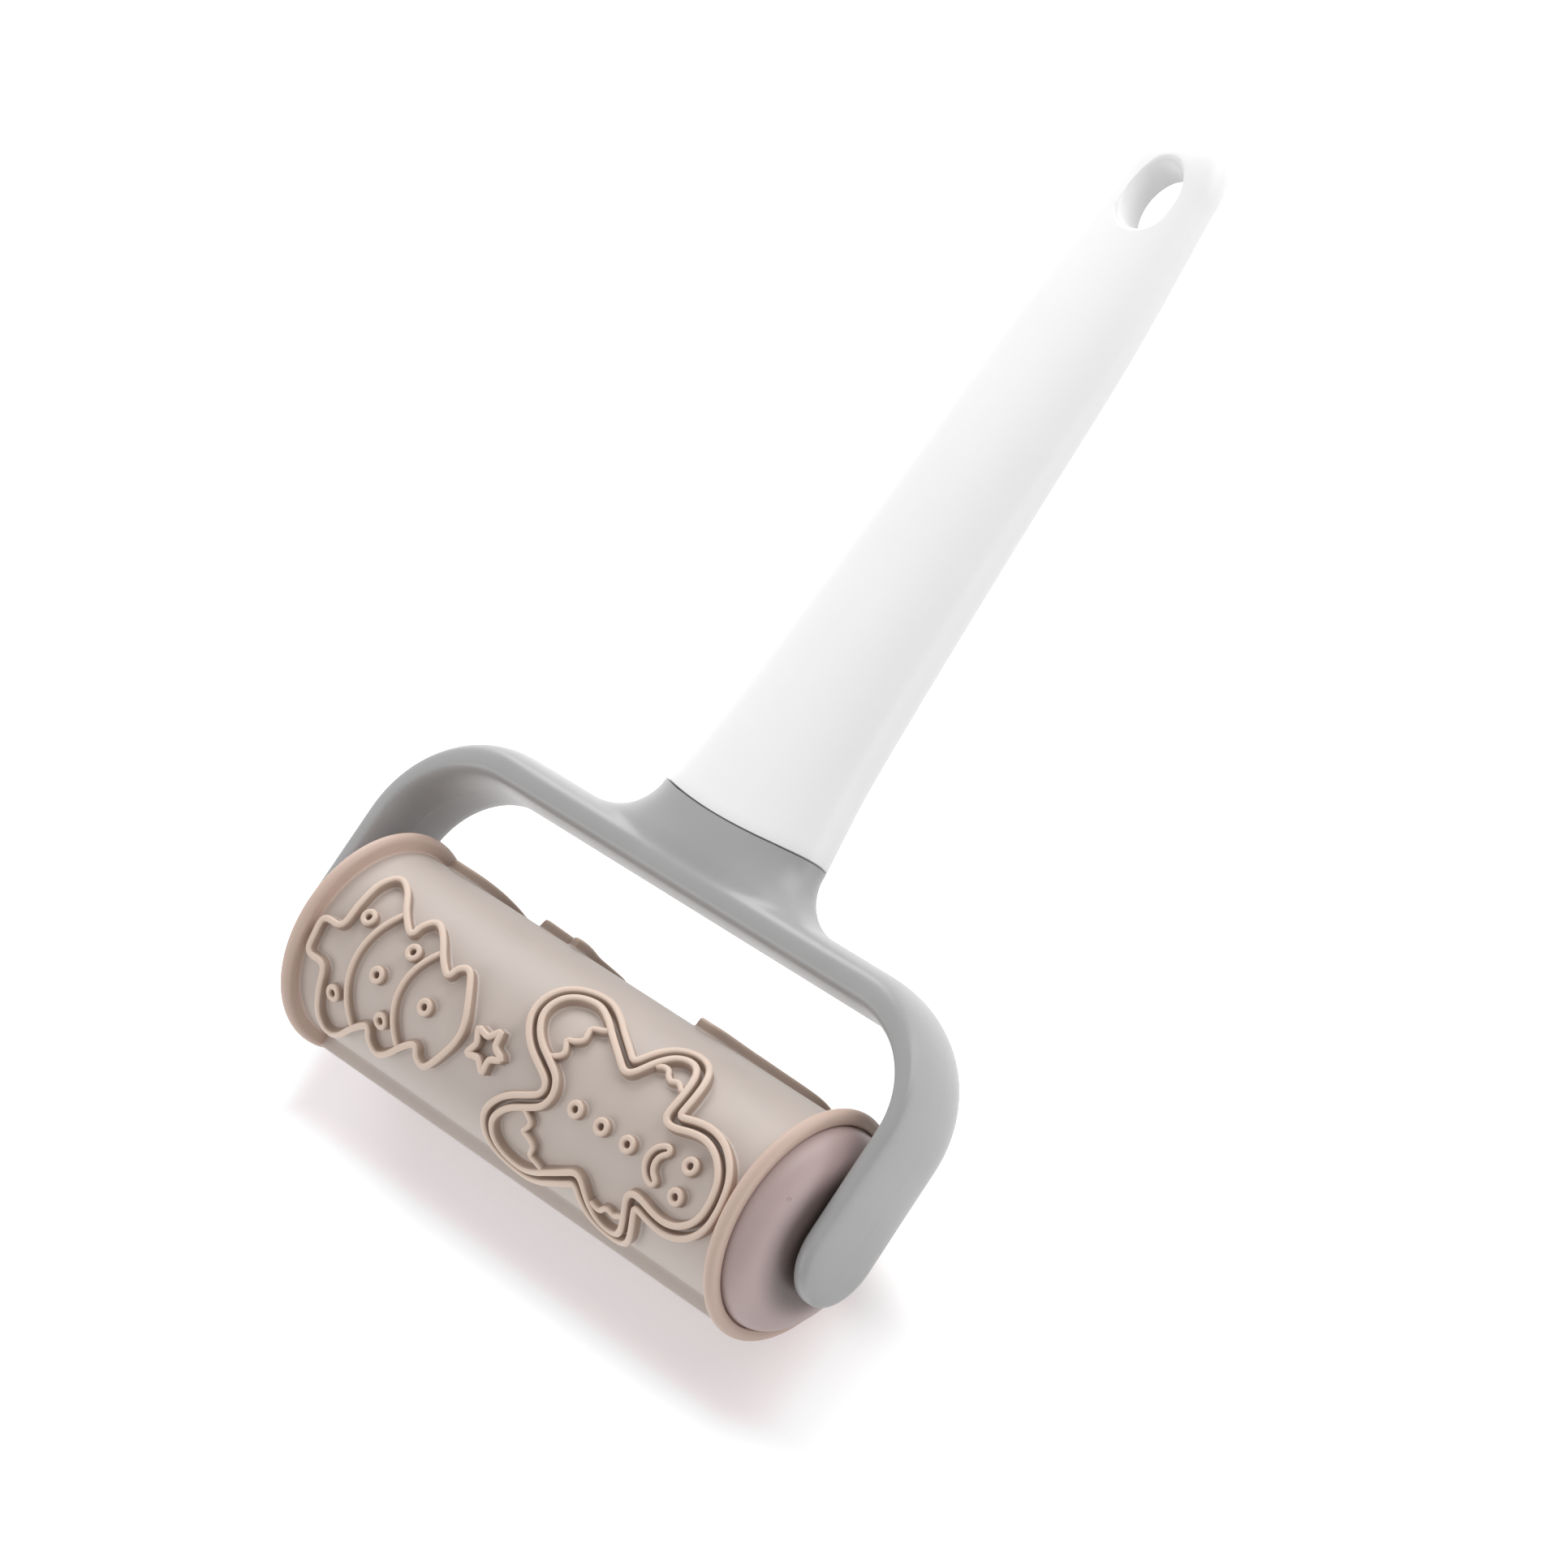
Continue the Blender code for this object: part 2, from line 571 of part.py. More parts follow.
def fork_rings():
    """Return the rings of the bent band, from the right arm's end to the left one's."""
    half = arm_end_stations() + corner_stations()
    whole = half + [(-x, y, -nx, ny, t, w, f) for x, y, nx, ny, t, w, f in reversed(half)]
    rings = []
    for x, y, nx, ny, thickness, width, flat in whole:
        section = band_section(thickness, width, flat)
        rings.append([(x + n * nx, y + n * ny, z) for n, z in section])
    return rings


def seam_y(x):
    """Return where the seam between collar and grip lies, across the tool."""
    return SEAM_Y - SEAM_BOW * (1.0 - (x / MOUTH_HALF_WIDTH) ** 2)


def oval(half_width, half_depth):
    """Return the grip's section as (x, z) points: an oval a little fuller than an ellipse."""
    points = []
    for i in range(GRIP_SEGMENTS):
        t = 2.0 * pi * i / GRIP_SEGMENTS
        c, s = cos(t), sin(t)
        points.append((half_width * abs(c) ** 0.9 * (1.0 if c >= 0.0 else -1.0),
                       half_depth * abs(s) ** 0.9 * (1.0 if s >= 0.0 else -1.0)))
    return points


def level_ring(y, half_width, half_depth):
    """Return an oval ring square to the grip."""
    return [(x, y, z) for x, z in oval(half_width, half_depth)]


def seam_ring(half_width, half_depth, beyond=0.0):
    """Return an oval ring that follows the seam, or lies just beyond it."""
    return [(x, seam_y(x) + beyond, z) for x, z in oval(half_width, half_depth)]


def straight_half_sizes(y):
    """Return the half width and half depth of the grip's tapered length."""
    stations = (
        (0.0, MOUTH_HALF_WIDTH, MOUTH_HALF_DEPTH),
        (0.13, SHOULDER_HALF_WIDTH, SHOULDER_HALF_DEPTH),
        (0.47, MIDDLE_HALF_WIDTH, MIDDLE_HALF_DEPTH),
        (0.72, WAIST_HALF_WIDTH, WAIST_HALF_DEPTH),
        (1.0 - TIP_ROUND / GRIP_LENGTH, NECK_HALF_WIDTH, NECK_HALF_DEPTH),
    )
    along = min(max((y - SEAM_Y) / GRIP_LENGTH, 0.0), stations[-1][0])
    i = max(k for k in range(len(stations) - 1) if stations[k][0] <= along)
    start, end = stations[i], stations[i + 1]
    before = stations[max(i - 1, 0)]
    after = stations[min(i + 2, len(stations) - 1)]
    run = end[0] - start[0]
    t = (along - start[0]) / run
    sizes = []
    for k in (1, 2):
        leave = run * (end[k] - before[k]) / (end[0] - before[0])
        arrive = run * (after[k] - start[k]) / (after[0] - start[0])
        rise = end[k] - start[k]
        sizes.append(start[k] + leave * t + (3.0 * rise - 2.0 * leave - arrive) * t ** 2
                     + (leave + arrive - 2.0 * rise) * t ** 3)
    return tuple(sizes)


def grip_half_sizes(y):
    """Return the grip's half width and half depth at a place along it."""
    straight_end = GRIP_END_Y - TIP_ROUND
    if y <= straight_end:
        return straight_half_sizes(y)
    share = (y - straight_end) / TIP_ROUND
    width = TIP_HALF_WIDTH + (NECK_HALF_WIDTH - TIP_HALF_WIDTH) * (1.0 - share ** 2) ** 0.5
    depth = TIP_HALF_DEPTH + (NECK_HALF_DEPTH - TIP_HALF_DEPTH) * (1.0 - share ** 4) ** 0.5
    return width, depth


def cavity_half_sizes(y):
    """Return the half sizes of the hollow inside the grip."""
    width, depth = grip_half_sizes(y)
    return width - GRIP_WALL, depth - GRIP_WALL


def hollow_levels():
    """Return the places of the rings of the hollow beyond its mouth."""
    return [SEAM_Y + share * CAVITY_LENGTH for share in (0.1, 0.2, 0.45, 0.72, 1.0)]


def collar_rings():
    """Return the rings of the collar and of the tang that goes into the grip."""
    rings = []
    foot_y = BAR_Y
    rise = SEAM_Y - foot_y
    for share, spread, depth_share in ((0.0, 1.15, 0.90), (0.30, 0.80, 0.985), (0.42, 0.45, 0.99),
                                       (0.58, 0.20, 0.995), (0.78, 0.06, 1.0)):
        width = MOUTH_HALF_WIDTH + COLLAR_FLARE * spread
        bow = SEAM_BOW * share ** 2
        rings.append([(x, foot_y + rise * share - bow * (1.0 - (x / width) ** 2), z)
                      for x, z in oval(width, MOUTH_HALF_DEPTH * depth_share)])
    rings.append(seam_ring(MOUTH_HALF_WIDTH, MOUTH_HALF_DEPTH))
    width, depth = cavity_half_sizes(SEAM_Y)
    rings.append(seam_ring(width - CLEARANCE, depth - CLEARANCE))
    for y in hollow_levels()[:-1] + [SEAM_Y + CAVITY_LENGTH - TANG_END_GAP]:
        width, depth = cavity_half_sizes(y)
        rings.append(level_ring(y, width - CLEARANCE, depth - CLEARANCE))
    return rings


def make_yoke_frame(parent, finish):
    """Make the fork with its collar and tang, and a boss and blind socket on each arm."""
    yoke = add_piece("yoke_frame", loft("yoke_frame", fork_rings()), parent, finish)
    boolean(yoke, add_guide("collar_and_tang", loft("collar_and_tang", collar_rings()), parent), "UNION")
    bore = ROD_RADIUS + CLEARANCE
    for side, name in ((1.0, "right"), (-1.0, "left")):
        stations = [(side * BOSS_X, BOSS_RADIUS), (side * ARM_X, BOSS_RADIUS)]
        boss = disc_stack("boss_" + name, stations, CAP_SEGMENTS)
        boolean(yoke, add_guide("boss_" + name, boss, parent), "UNION")
        stations = [(side * (BOSS_X - SOCKET_DEPTH), bore), (side * SOCKET_FLOOR_X, bore)]
        hole = disc_stack("socket_" + name, stations, ROD_SEGMENTS)
        boolean(yoke, add_guide("socket_" + name, hole, parent), "DIFFERENCE")


# Grip

def grip_levels():
    """Return the places of the grip's outer rings beyond its mouth."""
    straight_end = GRIP_END_Y - TIP_ROUND
    levels = [SEAM_Y + share * GRIP_LENGTH for share in (0.065, 0.13, 0.30, 0.47, 0.62, 0.77)]
    levels.append(straight_end)
    levels += [straight_end + share * TIP_ROUND for share in (0.35, 0.6, 0.8, 0.93, 1.0)]
    return levels


def slot_cutter():
    """Return the cutter of the hang slot, wider at both mouths."""
    rings = []
    out = 3.0 * NECK_HALF_DEPTH
    mouth = SLOT_THROAT + 1.5 * SLOT_RIM
    for z, extra in ((-out, SLOT_RIM), (-mouth, SLOT_RIM), (-SLOT_THROAT, 0.0), (SLOT_THROAT, 0.0),
                     (mouth, SLOT_RIM), (out, SLOT_RIM)):
        turns = [2.0 * pi * (i + 0.5) / GRIP_SEGMENTS for i in range(GRIP_SEGMENTS)]
        rings.append([((SLOT_HALF_WIDTH + extra) * cos(t), SLOT_Y + (SLOT_HALF_LENGTH + extra) * sin(t), z)
                      for t in turns])
    return loft("hang_slot", rings)


def make_handle_shell(parent, finish):
    """Make the grip: its outer skin, the hollow from its mouth and the hang slot."""
    rings = [seam_ring(MOUTH_HALF_WIDTH, MOUTH_HALF_DEPTH, CLEARANCE)]
    for y in grip_levels():
        rings.append(level_ring(y, *grip_half_sizes(y)))
    hollow = [level_ring(y, *cavity_half_sizes(y)) for y in hollow_levels()]
    mouth = seam_ring(*cavity_half_sizes(SEAM_Y), CLEARANCE)
    grip = add_piece("handle_shell", loft("handle_shell", hollow[::-1] + [mouth] + rings), parent, finish)
    boolean(grip, add_guide("hang_slot", slot_cutter(), parent), "DIFFERENCE")


def make_tool_frame():
    """Add the empty that carries every piece and lays the tool on the table.

    The tool tips until its grip touches the table too, and its middle is at the origin.
    """
    outline = [(y, grip_half_sizes(y)[1]) for y in grip_levels()]
    tilt = min(asin(FLANGE_RADIUS / hypot(y, depth)) - atan2(depth, y) for y, depth in outline)
    reach = max(y * cos(tilt) + depth * sin(tilt) for y, depth in outline)
    frame = bpy.data.objects.new("tool_frame", None)
    bpy.context.scene.collection.objects.link(frame)
    frame.location = (0.0, 0.5 * (FLANGE_RADIUS - reach), FLANGE_RADIUS)
    frame.rotation_euler.x = -tilt
    return frame


def main():
    """Build the whole tool."""
    clear_scene()
    frame = make_tool_frame()
    taupe = (0.51, 0.44, 0.39)
    make_roller_barrel(frame, plastic("taupe_plastic", taupe, 0.45))
    make_end_caps(frame, (plastic("mauve_plastic_right", (0.38, 0.31, 0.29), 0.45),
                          plastic("mauve_plastic_left", (0.38, 0.31, 0.29), 0.45)))
    make_axle_rod(frame, plastic("steel", (0.60, 0.60, 0.61), 0.25, 1.0))
    make_yoke_frame(frame, plastic("grey_plastic", (0.38, 0.39, 0.39), 0.35))
    make_handle_shell(frame, plastic("white_plastic", (0.90, 0.90, 0.90), 0.30))


main()
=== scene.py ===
"""Looks of a hand roller for biscuit dough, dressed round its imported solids.

Every size below is in millimetres, in the tool's own frame: the roller's axle runs along
X through the origin, the grip points along +Y and the broad side of the yoke faces +Z.
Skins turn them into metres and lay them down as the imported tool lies.
"""
import json
import logging
from dataclasses import dataclass, field, replace
from enum import Enum
from math import atan2, ceil, cos, hypot, pi, radians, sin, sqrt
from typing import Iterable, Optional, Sequence

import bmesh
import bpy
import numpy as np
from mathutils import Matrix, Vector
from mathutils.geometry import delaunay_2d_cdt

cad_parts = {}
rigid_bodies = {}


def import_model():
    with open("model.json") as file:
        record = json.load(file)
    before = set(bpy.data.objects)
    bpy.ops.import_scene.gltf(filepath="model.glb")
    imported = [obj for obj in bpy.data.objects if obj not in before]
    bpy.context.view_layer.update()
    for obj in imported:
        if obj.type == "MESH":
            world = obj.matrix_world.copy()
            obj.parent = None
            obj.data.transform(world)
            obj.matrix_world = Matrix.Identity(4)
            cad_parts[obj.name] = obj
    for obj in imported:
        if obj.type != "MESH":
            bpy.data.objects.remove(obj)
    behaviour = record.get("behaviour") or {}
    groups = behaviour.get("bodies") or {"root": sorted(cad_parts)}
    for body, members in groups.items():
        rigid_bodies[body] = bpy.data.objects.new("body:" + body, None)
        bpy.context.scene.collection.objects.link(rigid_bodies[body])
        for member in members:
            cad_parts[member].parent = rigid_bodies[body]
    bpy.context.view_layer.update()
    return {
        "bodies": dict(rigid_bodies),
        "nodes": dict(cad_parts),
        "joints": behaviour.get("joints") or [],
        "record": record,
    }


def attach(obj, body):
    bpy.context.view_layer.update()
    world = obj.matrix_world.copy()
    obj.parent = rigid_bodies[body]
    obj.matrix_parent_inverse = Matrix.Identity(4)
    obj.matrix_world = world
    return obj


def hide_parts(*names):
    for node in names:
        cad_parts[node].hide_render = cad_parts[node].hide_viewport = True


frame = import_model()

LOG = logging.getLogger("dough_roller")
MM = 0.001
OVAL_POWER = 0.92
CUTTER_TURN = 2.0
NOISE_RANGE = (0.3, 0.7)
RIPPLE_PER_MM = 0.18
RIPPLE_DEPTH = 0.012

Point2 = tuple[float, float]
Point3 = tuple[float, float, float]
Ring = list[Point3]
Station = tuple[float, float, float, float, float]
Colour = tuple[float, float, float, float]

WHITE: Colour = (1.0, 1.0, 1.0, 1.0)


class Body(Enum):
    """The two bodies that the tool's pieces ride on."""

    BASE = "base"
    ROLLER = "roller"


class Slot(Enum):
    """The record's material slots."""

    GRIP = "grip_plastic"
    YOKE = "yoke_plastic"
    ROD = "rod_steel"
    ROLLER = "roller_plastic"
    CAP = "cap_plastic"


@dataclass(frozen=True)
class Placement:
    """Where the tool's own frame lies in the world.

    Attributes:
        axle: The middle of the roller's axle, in metres.
        tilt: How far the grip leans down towards the table, in radians.
    """

    axle: Vector
    tilt: float

    @classmethod
    def from_frame(cls, packed: dict) -> "Placement":
        """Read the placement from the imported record.


        Returns:
            The placement given by the roller's joint and the mount on an arm.
        """
        axle = Vector(packed["joints"][0]["pos_m"])
        arm = Vector(packed["record"]["mounts"][0]["pos_m"])
        return cls(axle, atan2(axle.z - arm.z, arm.y - axle.y))

    def matrix(self) -> Matrix:
        """Return the matrix from the tool's own frame, in metres, to the world."""
        return Matrix.Translation(self.axle) @ Matrix.Rotation(-self.tilt, 4, "X")

    def lay_down(self, piece: bpy.types.Object) -> None:
        """Turn a piece's mesh as the tool lies and put its origin on the axle.

        Args:
            piece: The piece, still in the tool's own frame.
        """
        piece.data.transform(Matrix.Rotation(-self.tilt, 4, "X"))
        piece.matrix_world = Matrix.Translation(self.axle)


def arc(centre: Point2, radii: Point2, start: float, end: float, pieces: int) -> list[Point2]:
    """Return points on an elliptical arc.

    Args:
        centre: The arc's centre.
        radii: Its two half axes.
        start: The angle of its first point, in degrees.
        end: The angle of its last point, in degrees.
        pieces: How many straight pieces stand for it.

    Returns:
        The points, ends included.
    """
    turns = [radians(start + (end - start) * i / pieces) for i in range(pieces + 1)]
    return [(centre[0] + radii[0] * cos(t), centre[1] + radii[1] * sin(t)) for t in turns]


def smoothstep(low: float, high: float, value: float) -> float:
    """Return 0 below low, 1 above high and a smooth rise between them."""
    share = min(max((value - low) / (high - low), 0.0), 1.0)
    return share * share * (3.0 - 2.0 * share)


def signed_power(value: float, power: float) -> float:
    """Return the power of a number's size, with the number's own sign."""
    return (1.0 if value >= 0.0 else -1.0) * abs(value) ** power


def oval(width: float, depth: float, pieces: int) -> list[Point2]:
    """Draw the oval section that the grip and the collar share, a little fuller than an ellipse.

    Args:
        width: Half its width.
        depth: Half its depth.
        pieces: How many straight pieces stand for it.

    Returns:
        Its points.
    """
    turns = [2.0 * pi * i / pieces for i in range(pieces)]
    return [(width * signed_power(cos(t), OVAL_POWER), depth * signed_power(sin(t), OVAL_POWER))
            for t in turns]


def shifted(ring: Ring, step: float) -> Ring:
    """Return a ring moved along the tool."""
    return [(x, y + step, z) for x, y, z in ring]


def put_in_scene(name: str, data: bpy.types.ID) -> bpy.types.Object:
    """Make an object of a mesh, a lamp or a camera and put it in the scene.

    Args:
        name: The object's name.
        data: What it shows.

    Returns:
        The object.
    """
    item = bpy.data.objects.new(name, data)
    bpy.context.scene.collection.objects.link(item)
    return item


def smooth(mesh: bpy.types.Mesh, sharp_angle: float) -> None:
    """Shade a mesh smooth, but for the edges that bend more than an angle, in degrees."""
    mesh.shade_smooth()
    mesh.set_sharp_from_angle(angle=radians(sharp_angle))


class Skin:
    """Collects the faces of one piece in millimetres and makes its object."""

    def __init__(self, name: str) -> None:
        """Start an empty skin.

        Args:
            name: The piece's name.
        """
        self.name = name
        self.bm = bmesh.new()

    def add_loft(self, rings: Sequence[Ring], joined: bool = False) -> None:
        """Skin a row of rings of equal length.

        Args:
            rings: The rings, in order.
            joined: Whether the last ring meets the first, or both ends are capped.
        """
        loops = [[self.bm.verts.new(point) for point in ring] for ring in rings]
        pairs = list(zip(loops, loops[1:]))
        if joined:
            pairs.append((loops[-1], loops[0]))
        for one, two in pairs:
            count = len(one)
            for i in range(count):
                k = (i + 1) % count
                self.bm.faces.new((one[i], one[k], two[k], two[i]))
        if not joined:
            self.bm.faces.new(loops[0][::-1])
            self.bm.faces.new(loops[-1])

    def add_turned(self, profile: Sequence[Point2], segments: int) -> None:
        """Spin a closed profile of (x, radius) points round the roller's axle.

        Args:
            profile: The profile's corners.
            segments: How many flats stand for the round.
        """
        rings = []
        for i in range(segments):
            t = 2.0 * pi * i / segments
            rings.append([(x, radius * sin(t), radius * cos(t)) for x, radius in profile])
        self.add_loft(rings, joined=True)

    def add_bar(self, stations: Iterable[Point2], segments: int, first: float = 0.0) -> None:
        """Add a solid round bar along the roller's axle.

        Args:
            stations: Its ends and steps, as (x, radius).
            segments: How many flats stand for the round.
            first: Where the first edge lies, in degrees from +Y.
        """
        turns = arc((0.0, 0.0), (1.0, 1.0), first, first + 360, segments)[:-1]
        self.add_loft([[(x, radius * y, radius * z) for y, z in turns] for x, radius in stations])

    def add_sheet(self, points: Sequence[Point3], faces: Iterable[Sequence[int]]) -> None:
        """Add an open sheet, whose faces already turn the right way.

        Args:
            points: The sheet's points.
            faces: The points of each face, counter-clockwise from outside.
        """
        corners = [self.bm.verts.new(point) for point in points]
        for face in faces:
            self.bm.faces.new([corners[i] for i in face])

    def to_object(self, sharp_angle: float = 40.0, closed: bool = True) -> bpy.types.Object:
        """Make the piece's object.

        Args:
            sharp_angle: Edges that bend more than this, in degrees, stay sharp.
            closed: Whether the skin is a closed one, whose faces can be turned outwards.

        Returns:
            The object, in the tool's own frame.
        """
        if closed:
            bmesh.ops.recalc_face_normals(self.bm, faces=self.bm.faces)
        bmesh.ops.scale(self.bm, vec=(MM, MM, MM), verts=self.bm.verts)
        mesh = bpy.data.meshes.new(self.name)
        self.bm.to_mesh(mesh)
        self.bm.free()
        smooth(mesh, sharp_angle)
        return put_in_scene(self.name, mesh)


def combine(piece: bpy.types.Object, tool: bpy.types.Object, operation: str) -> None:
    """Join or cut a piece with another one, which is used up.

    Args:
        piece: The piece to change.
        tool: The piece that joins or cuts it.
        operation: UNION or DIFFERENCE.
    """
    modifier = piece.modifiers.new(tool.name, "BOOLEAN")
    modifier.operation = operation
    modifier.solver = "EXACT"
    modifier.object = tool
    freeze(piece)
    bpy.data.objects.remove(tool, do_unlink=True)


def freeze(piece: bpy.types.Object) -> None:
    """Turn a piece's modifiers into plain mesh.

    Args:
        piece: The piece.
    """
    bpy.context.view_layer.update()
    depsgraph = bpy.context.evaluated_depsgraph_get()
    mesh = bpy.data.meshes.new_from_object(piece.evaluated_get(depsgraph))
    old = piece.data
    piece.modifiers.clear()
    piece.data = mesh
    bpy.data.meshes.remove(old)
    mesh.name = piece.name


def mesh_points(mesh: bpy.types.Mesh) -> np.ndarray:
    """Read a mesh's points.

    Args:
        mesh: The mesh.

    Returns:
        A row of three millimetre values for each point.
    """
    flat = np.empty(len(mesh.vertices) * 3)
    mesh.vertices.foreach_get("co", flat)
    return flat.reshape(-1, 3) / MM


def set_mesh_points(mesh: bpy.types.Mesh, points: np.ndarray) -> None:
    """Write rows of millimetres back as a mesh's points."""
    mesh.vertices.foreach_set("co", (points * MM).ravel())
    mesh.update()


def relax(mesh: bpy.types.Mesh, rounds: int, strength: np.ndarray, keep_size: bool) -> None:
    """Smooth a mesh by drawing each point towards the middle of its neighbours.

    Args:
        mesh: The mesh to smooth.
        rounds: How many times each point moves.
        strength: How far each point may move, from 0 to 1.
        keep_size: Whether every second move goes back out, so that nothing shrinks.
    """
    points = mesh_points(mesh)
    edges = np.empty(len(mesh.edges) * 2, dtype=np.int64)
    mesh.edges.foreach_get("vertices", edges)
    one, two = edges.reshape(-1, 2).T
    count = np.bincount(one, minlength=len(points)) + np.bincount(two, minlength=len(points))
    forward, back = 0.50, -0.53
    for _ in range(rounds):
        for step in ((forward, back) if keep_size else (forward,)):
            total = np.zeros_like(points)
            for axis in range(3):
                total[:, axis] = (np.bincount(one, points[two, axis], len(points))
                                  + np.bincount(two, points[one, axis], len(points)))
            middle = total / np.maximum(count, 1)[:, None]
            points += step * strength[:, None] * (middle - points)
    set_mesh_points(mesh, points)


# The drawing on the roller

THIN_HEIGHT = 1.6
THIN_WIDTH = 0.82
RING_RADIUS = 1.12


def beyond(end: Point2, before: Point2) -> Point2:
    """Return the point that continues a line past its end."""
    return (2.0 * end[0] - before[0], 2.0 * end[1] - before[1])


def distance(a: Point2, b: Point2) -> float:
    """Return the distance between two points of the drawing."""
    return hypot(b[0] - a[0], b[1] - a[1])


def away(start: Point2, turn: float, length: float) -> Point2:
    """Return the point a length away from another one, at a turn from the roller's axle."""
    return (start[0] + length * cos(turn), start[1] + length * sin(turn))


@dataclass
class Line:
    """A line of the drawing that becomes a rib.

    Attributes:
        points: Its points, as (along the roller, round the roller), in millimetres.
        closed: Whether its last point runs on to its first.
        height: How high its rib stands on the barrel.
        width: Its rib's width, as a share of the usual width.
    """

    points: list[Point2]
    closed: bool = True
    height: float = 1.9
    width: float = 1.0

    @staticmethod
    def curve(through: Sequence[Point2], step: float = 0.6) -> list[Point2]:
        """Return points on a smooth curve through the given ones.

        Args:
            through: The points that the curve passes.
            step: The distance between two points of the result.

        Returns:
            The curve's points, from the first to the last given one.
        """
        padded = [beyond(through[0], through[1]), *through, beyond(through[-1], through[-2])]
        points = [through[0]]
        for a, b, c, d in zip(padded, padded[1:], padded[2:], padded[3:]):
            pieces = max(2, ceil(distance(b, c) / step))
            for i in range(1, pieces + 1):
                t = i / pieces
                points.append(tuple(
                    0.5 * (2.0 * q + (r - p) * t + (2.0 * p - 5.0 * q + 4.0 * r - s) * t * t
                           + (3.0 * q - p - 3.0 * r + s) * t ** 3)
                    for p, q, r, s in zip(a, b, c, d)))
        return points

    @staticmethod
    def rounded(corners: Sequence[Point2], reach: float, closed: bool = True) -> list[Point2]:
        """Return a line of straight runs whose corners are rounded off.

        Args:
            corners: The line's corners.
            reach: How far from a corner its rounding starts.
            closed: Whether the last corner runs on to the first.

        Returns:
            The points of the rounded line.
        """
        count = len(corners)
        points: list[Point2] = []
        for i, corner in enumerate(corners):
            if not closed and i in (0, count - 1):
                points.append(corner)
                continue
            ends = []
            for other in (corners[i - 1], corners[(i + 1) % count]):
                share = min(reach / distance(corner, other), 0.45)
                ends.append([corner[k] + (other[k] - corner[k]) * share for k in (0, 1)])
            start, end = ends
            for t in (0.0, 0.25, 0.5, 0.75, 1.0):
                one, two, three = (1.0 - t) ** 2, 2.0 * t * (1.0 - t), t * t
                points.append(tuple(one * start[k] + two * corner[k] + three * end[k] for k in (0, 1)))
        return points

    def sampled(self, step: float) -> "Line":
        """Return the same line with points an even, short step apart.

        Args:
            step: The distance between two points.

        Returns:
            The resampled line.
        """
        stops = self.points + (self.points[:1] if self.closed else [])
        reach = np.concatenate(([0.0], np.cumsum([distance(a, b) for a, b in zip(stops, stops[1:])])))
        pieces = max(3, round(reach[-1] / step))
        at = np.linspace(0.0, reach[-1], pieces + 1)
        xs, qs = (np.interp(at, reach, [p[k] for p in stops]) for k in (0, 1))
        points = list(zip(xs.tolist(), qs.tolist()))
        return replace(self, points=points[:-1] if self.closed else points)

    def mirrored(self) -> "Line":
        """Return the line on the other side of the motif's middle line."""
        return replace(self, points=[(x, -q) for x, q in self.points])

    def softened(self, rounds: int) -> "Line":
        """Ease the line's corners by averaging neighbours.

        Args:
            rounds: How many times each point is averaged.

        Returns:
            The eased line. An open line keeps its ends.
        """
        xy = np.array(self.points)
        for _ in range(rounds):
            eased = 0.25 * np.roll(xy, 1, 0) + 0.5 * xy + 0.25 * np.roll(xy, -1, 0)
            if not self.closed:
                eased[0], eased[-1] = xy[0], xy[-1]
            xy = eased
        return replace(self, points=[tuple(p) for p in xy.tolist()])

    def evened(self, step: float = 0.4, rounds: int = 3) -> "Line":
        """Return the line with evenly spaced points and eased corners."""
        return self.sampled(step).softened(rounds)

    def sideways(self) -> list[Point2]:
        """Find the way to the left of the line.

        Returns:
            A unit step to the left at each point.
        """
        count = len(self.points)
        steps = []
        for i, point in enumerate(self.points):
            before = self.points[i - 1] if self.closed or i > 0 else point
            after = self.points[(i + 1) % count] if self.closed or i < count - 1 else point
            run = (after[0] - before[0], after[1] - before[1])
            length = hypot(*run)
            steps.append((-run[1] / length, run[0] / length))
        return steps

    def parallel(self, offset: float) -> "Line":
        """Return the line beside this one, without the folds of tight corners.

        Args:
            offset: The distance to the left.

        Returns:
            The parallel line.
        """
        own = np.array(self.points)
        beside = own + offset * np.array(self.sideways())
        gap = np.sqrt(((beside[:, None, :] - own[None, :, :]) ** 2).sum(2)).min(1)
        free = gap > 0.985 * abs(offset)
        return replace(self, points=[tuple(p) for p in beside[free].tolist()]).evened()

    @classmethod
    def thin(cls, points: list[Point2], closed: bool = False) -> "Line":
        """Return a line of the low, narrow kind that stands inside an outline."""
        return cls(points, closed, THIN_HEIGHT, THIN_WIDTH)


class Row(Enum):
    """The rows round the roller, in degrees from +Z towards +Y."""

    FRONT = -13.5
    TOWARDS_BAR = 121.0
    AWAY_FROM_BAR = 204.0
    CUT = -98.0


@dataclass
class Motif:
    """Some lines that share one row round the roller.

    Attributes:
        row: The row.
        lines: The motif's lines.
        floors: The closed lines whose inside is a thin raised floor.
    """

    row: Row
    lines: list[Line] = field(default_factory=list)
    floors: list[Line] = field(default_factory=list)

    @property
    def turn(self) -> float:
        """Return where the row's middle line lies, in radians from +Z towards +Y."""
        return radians(self.row.value)

    def add_mirrored(self, line: Line) -> None:
        """Add a line and its mirror image."""
        self.lines += [line, line.mirrored()]

    def add_rings(self, centres: Iterable[Point2], radius: float = RING_RADIUS) -> None:
        """Add small rings.

        Args:
            centres: The rings' middles.
            radius: The radius of their crests.
        """
        for centre in centres:
            self.lines.append(Line.thin(arc(centre, (radius, radius), 0, 360, 28)[:-1], closed=True))


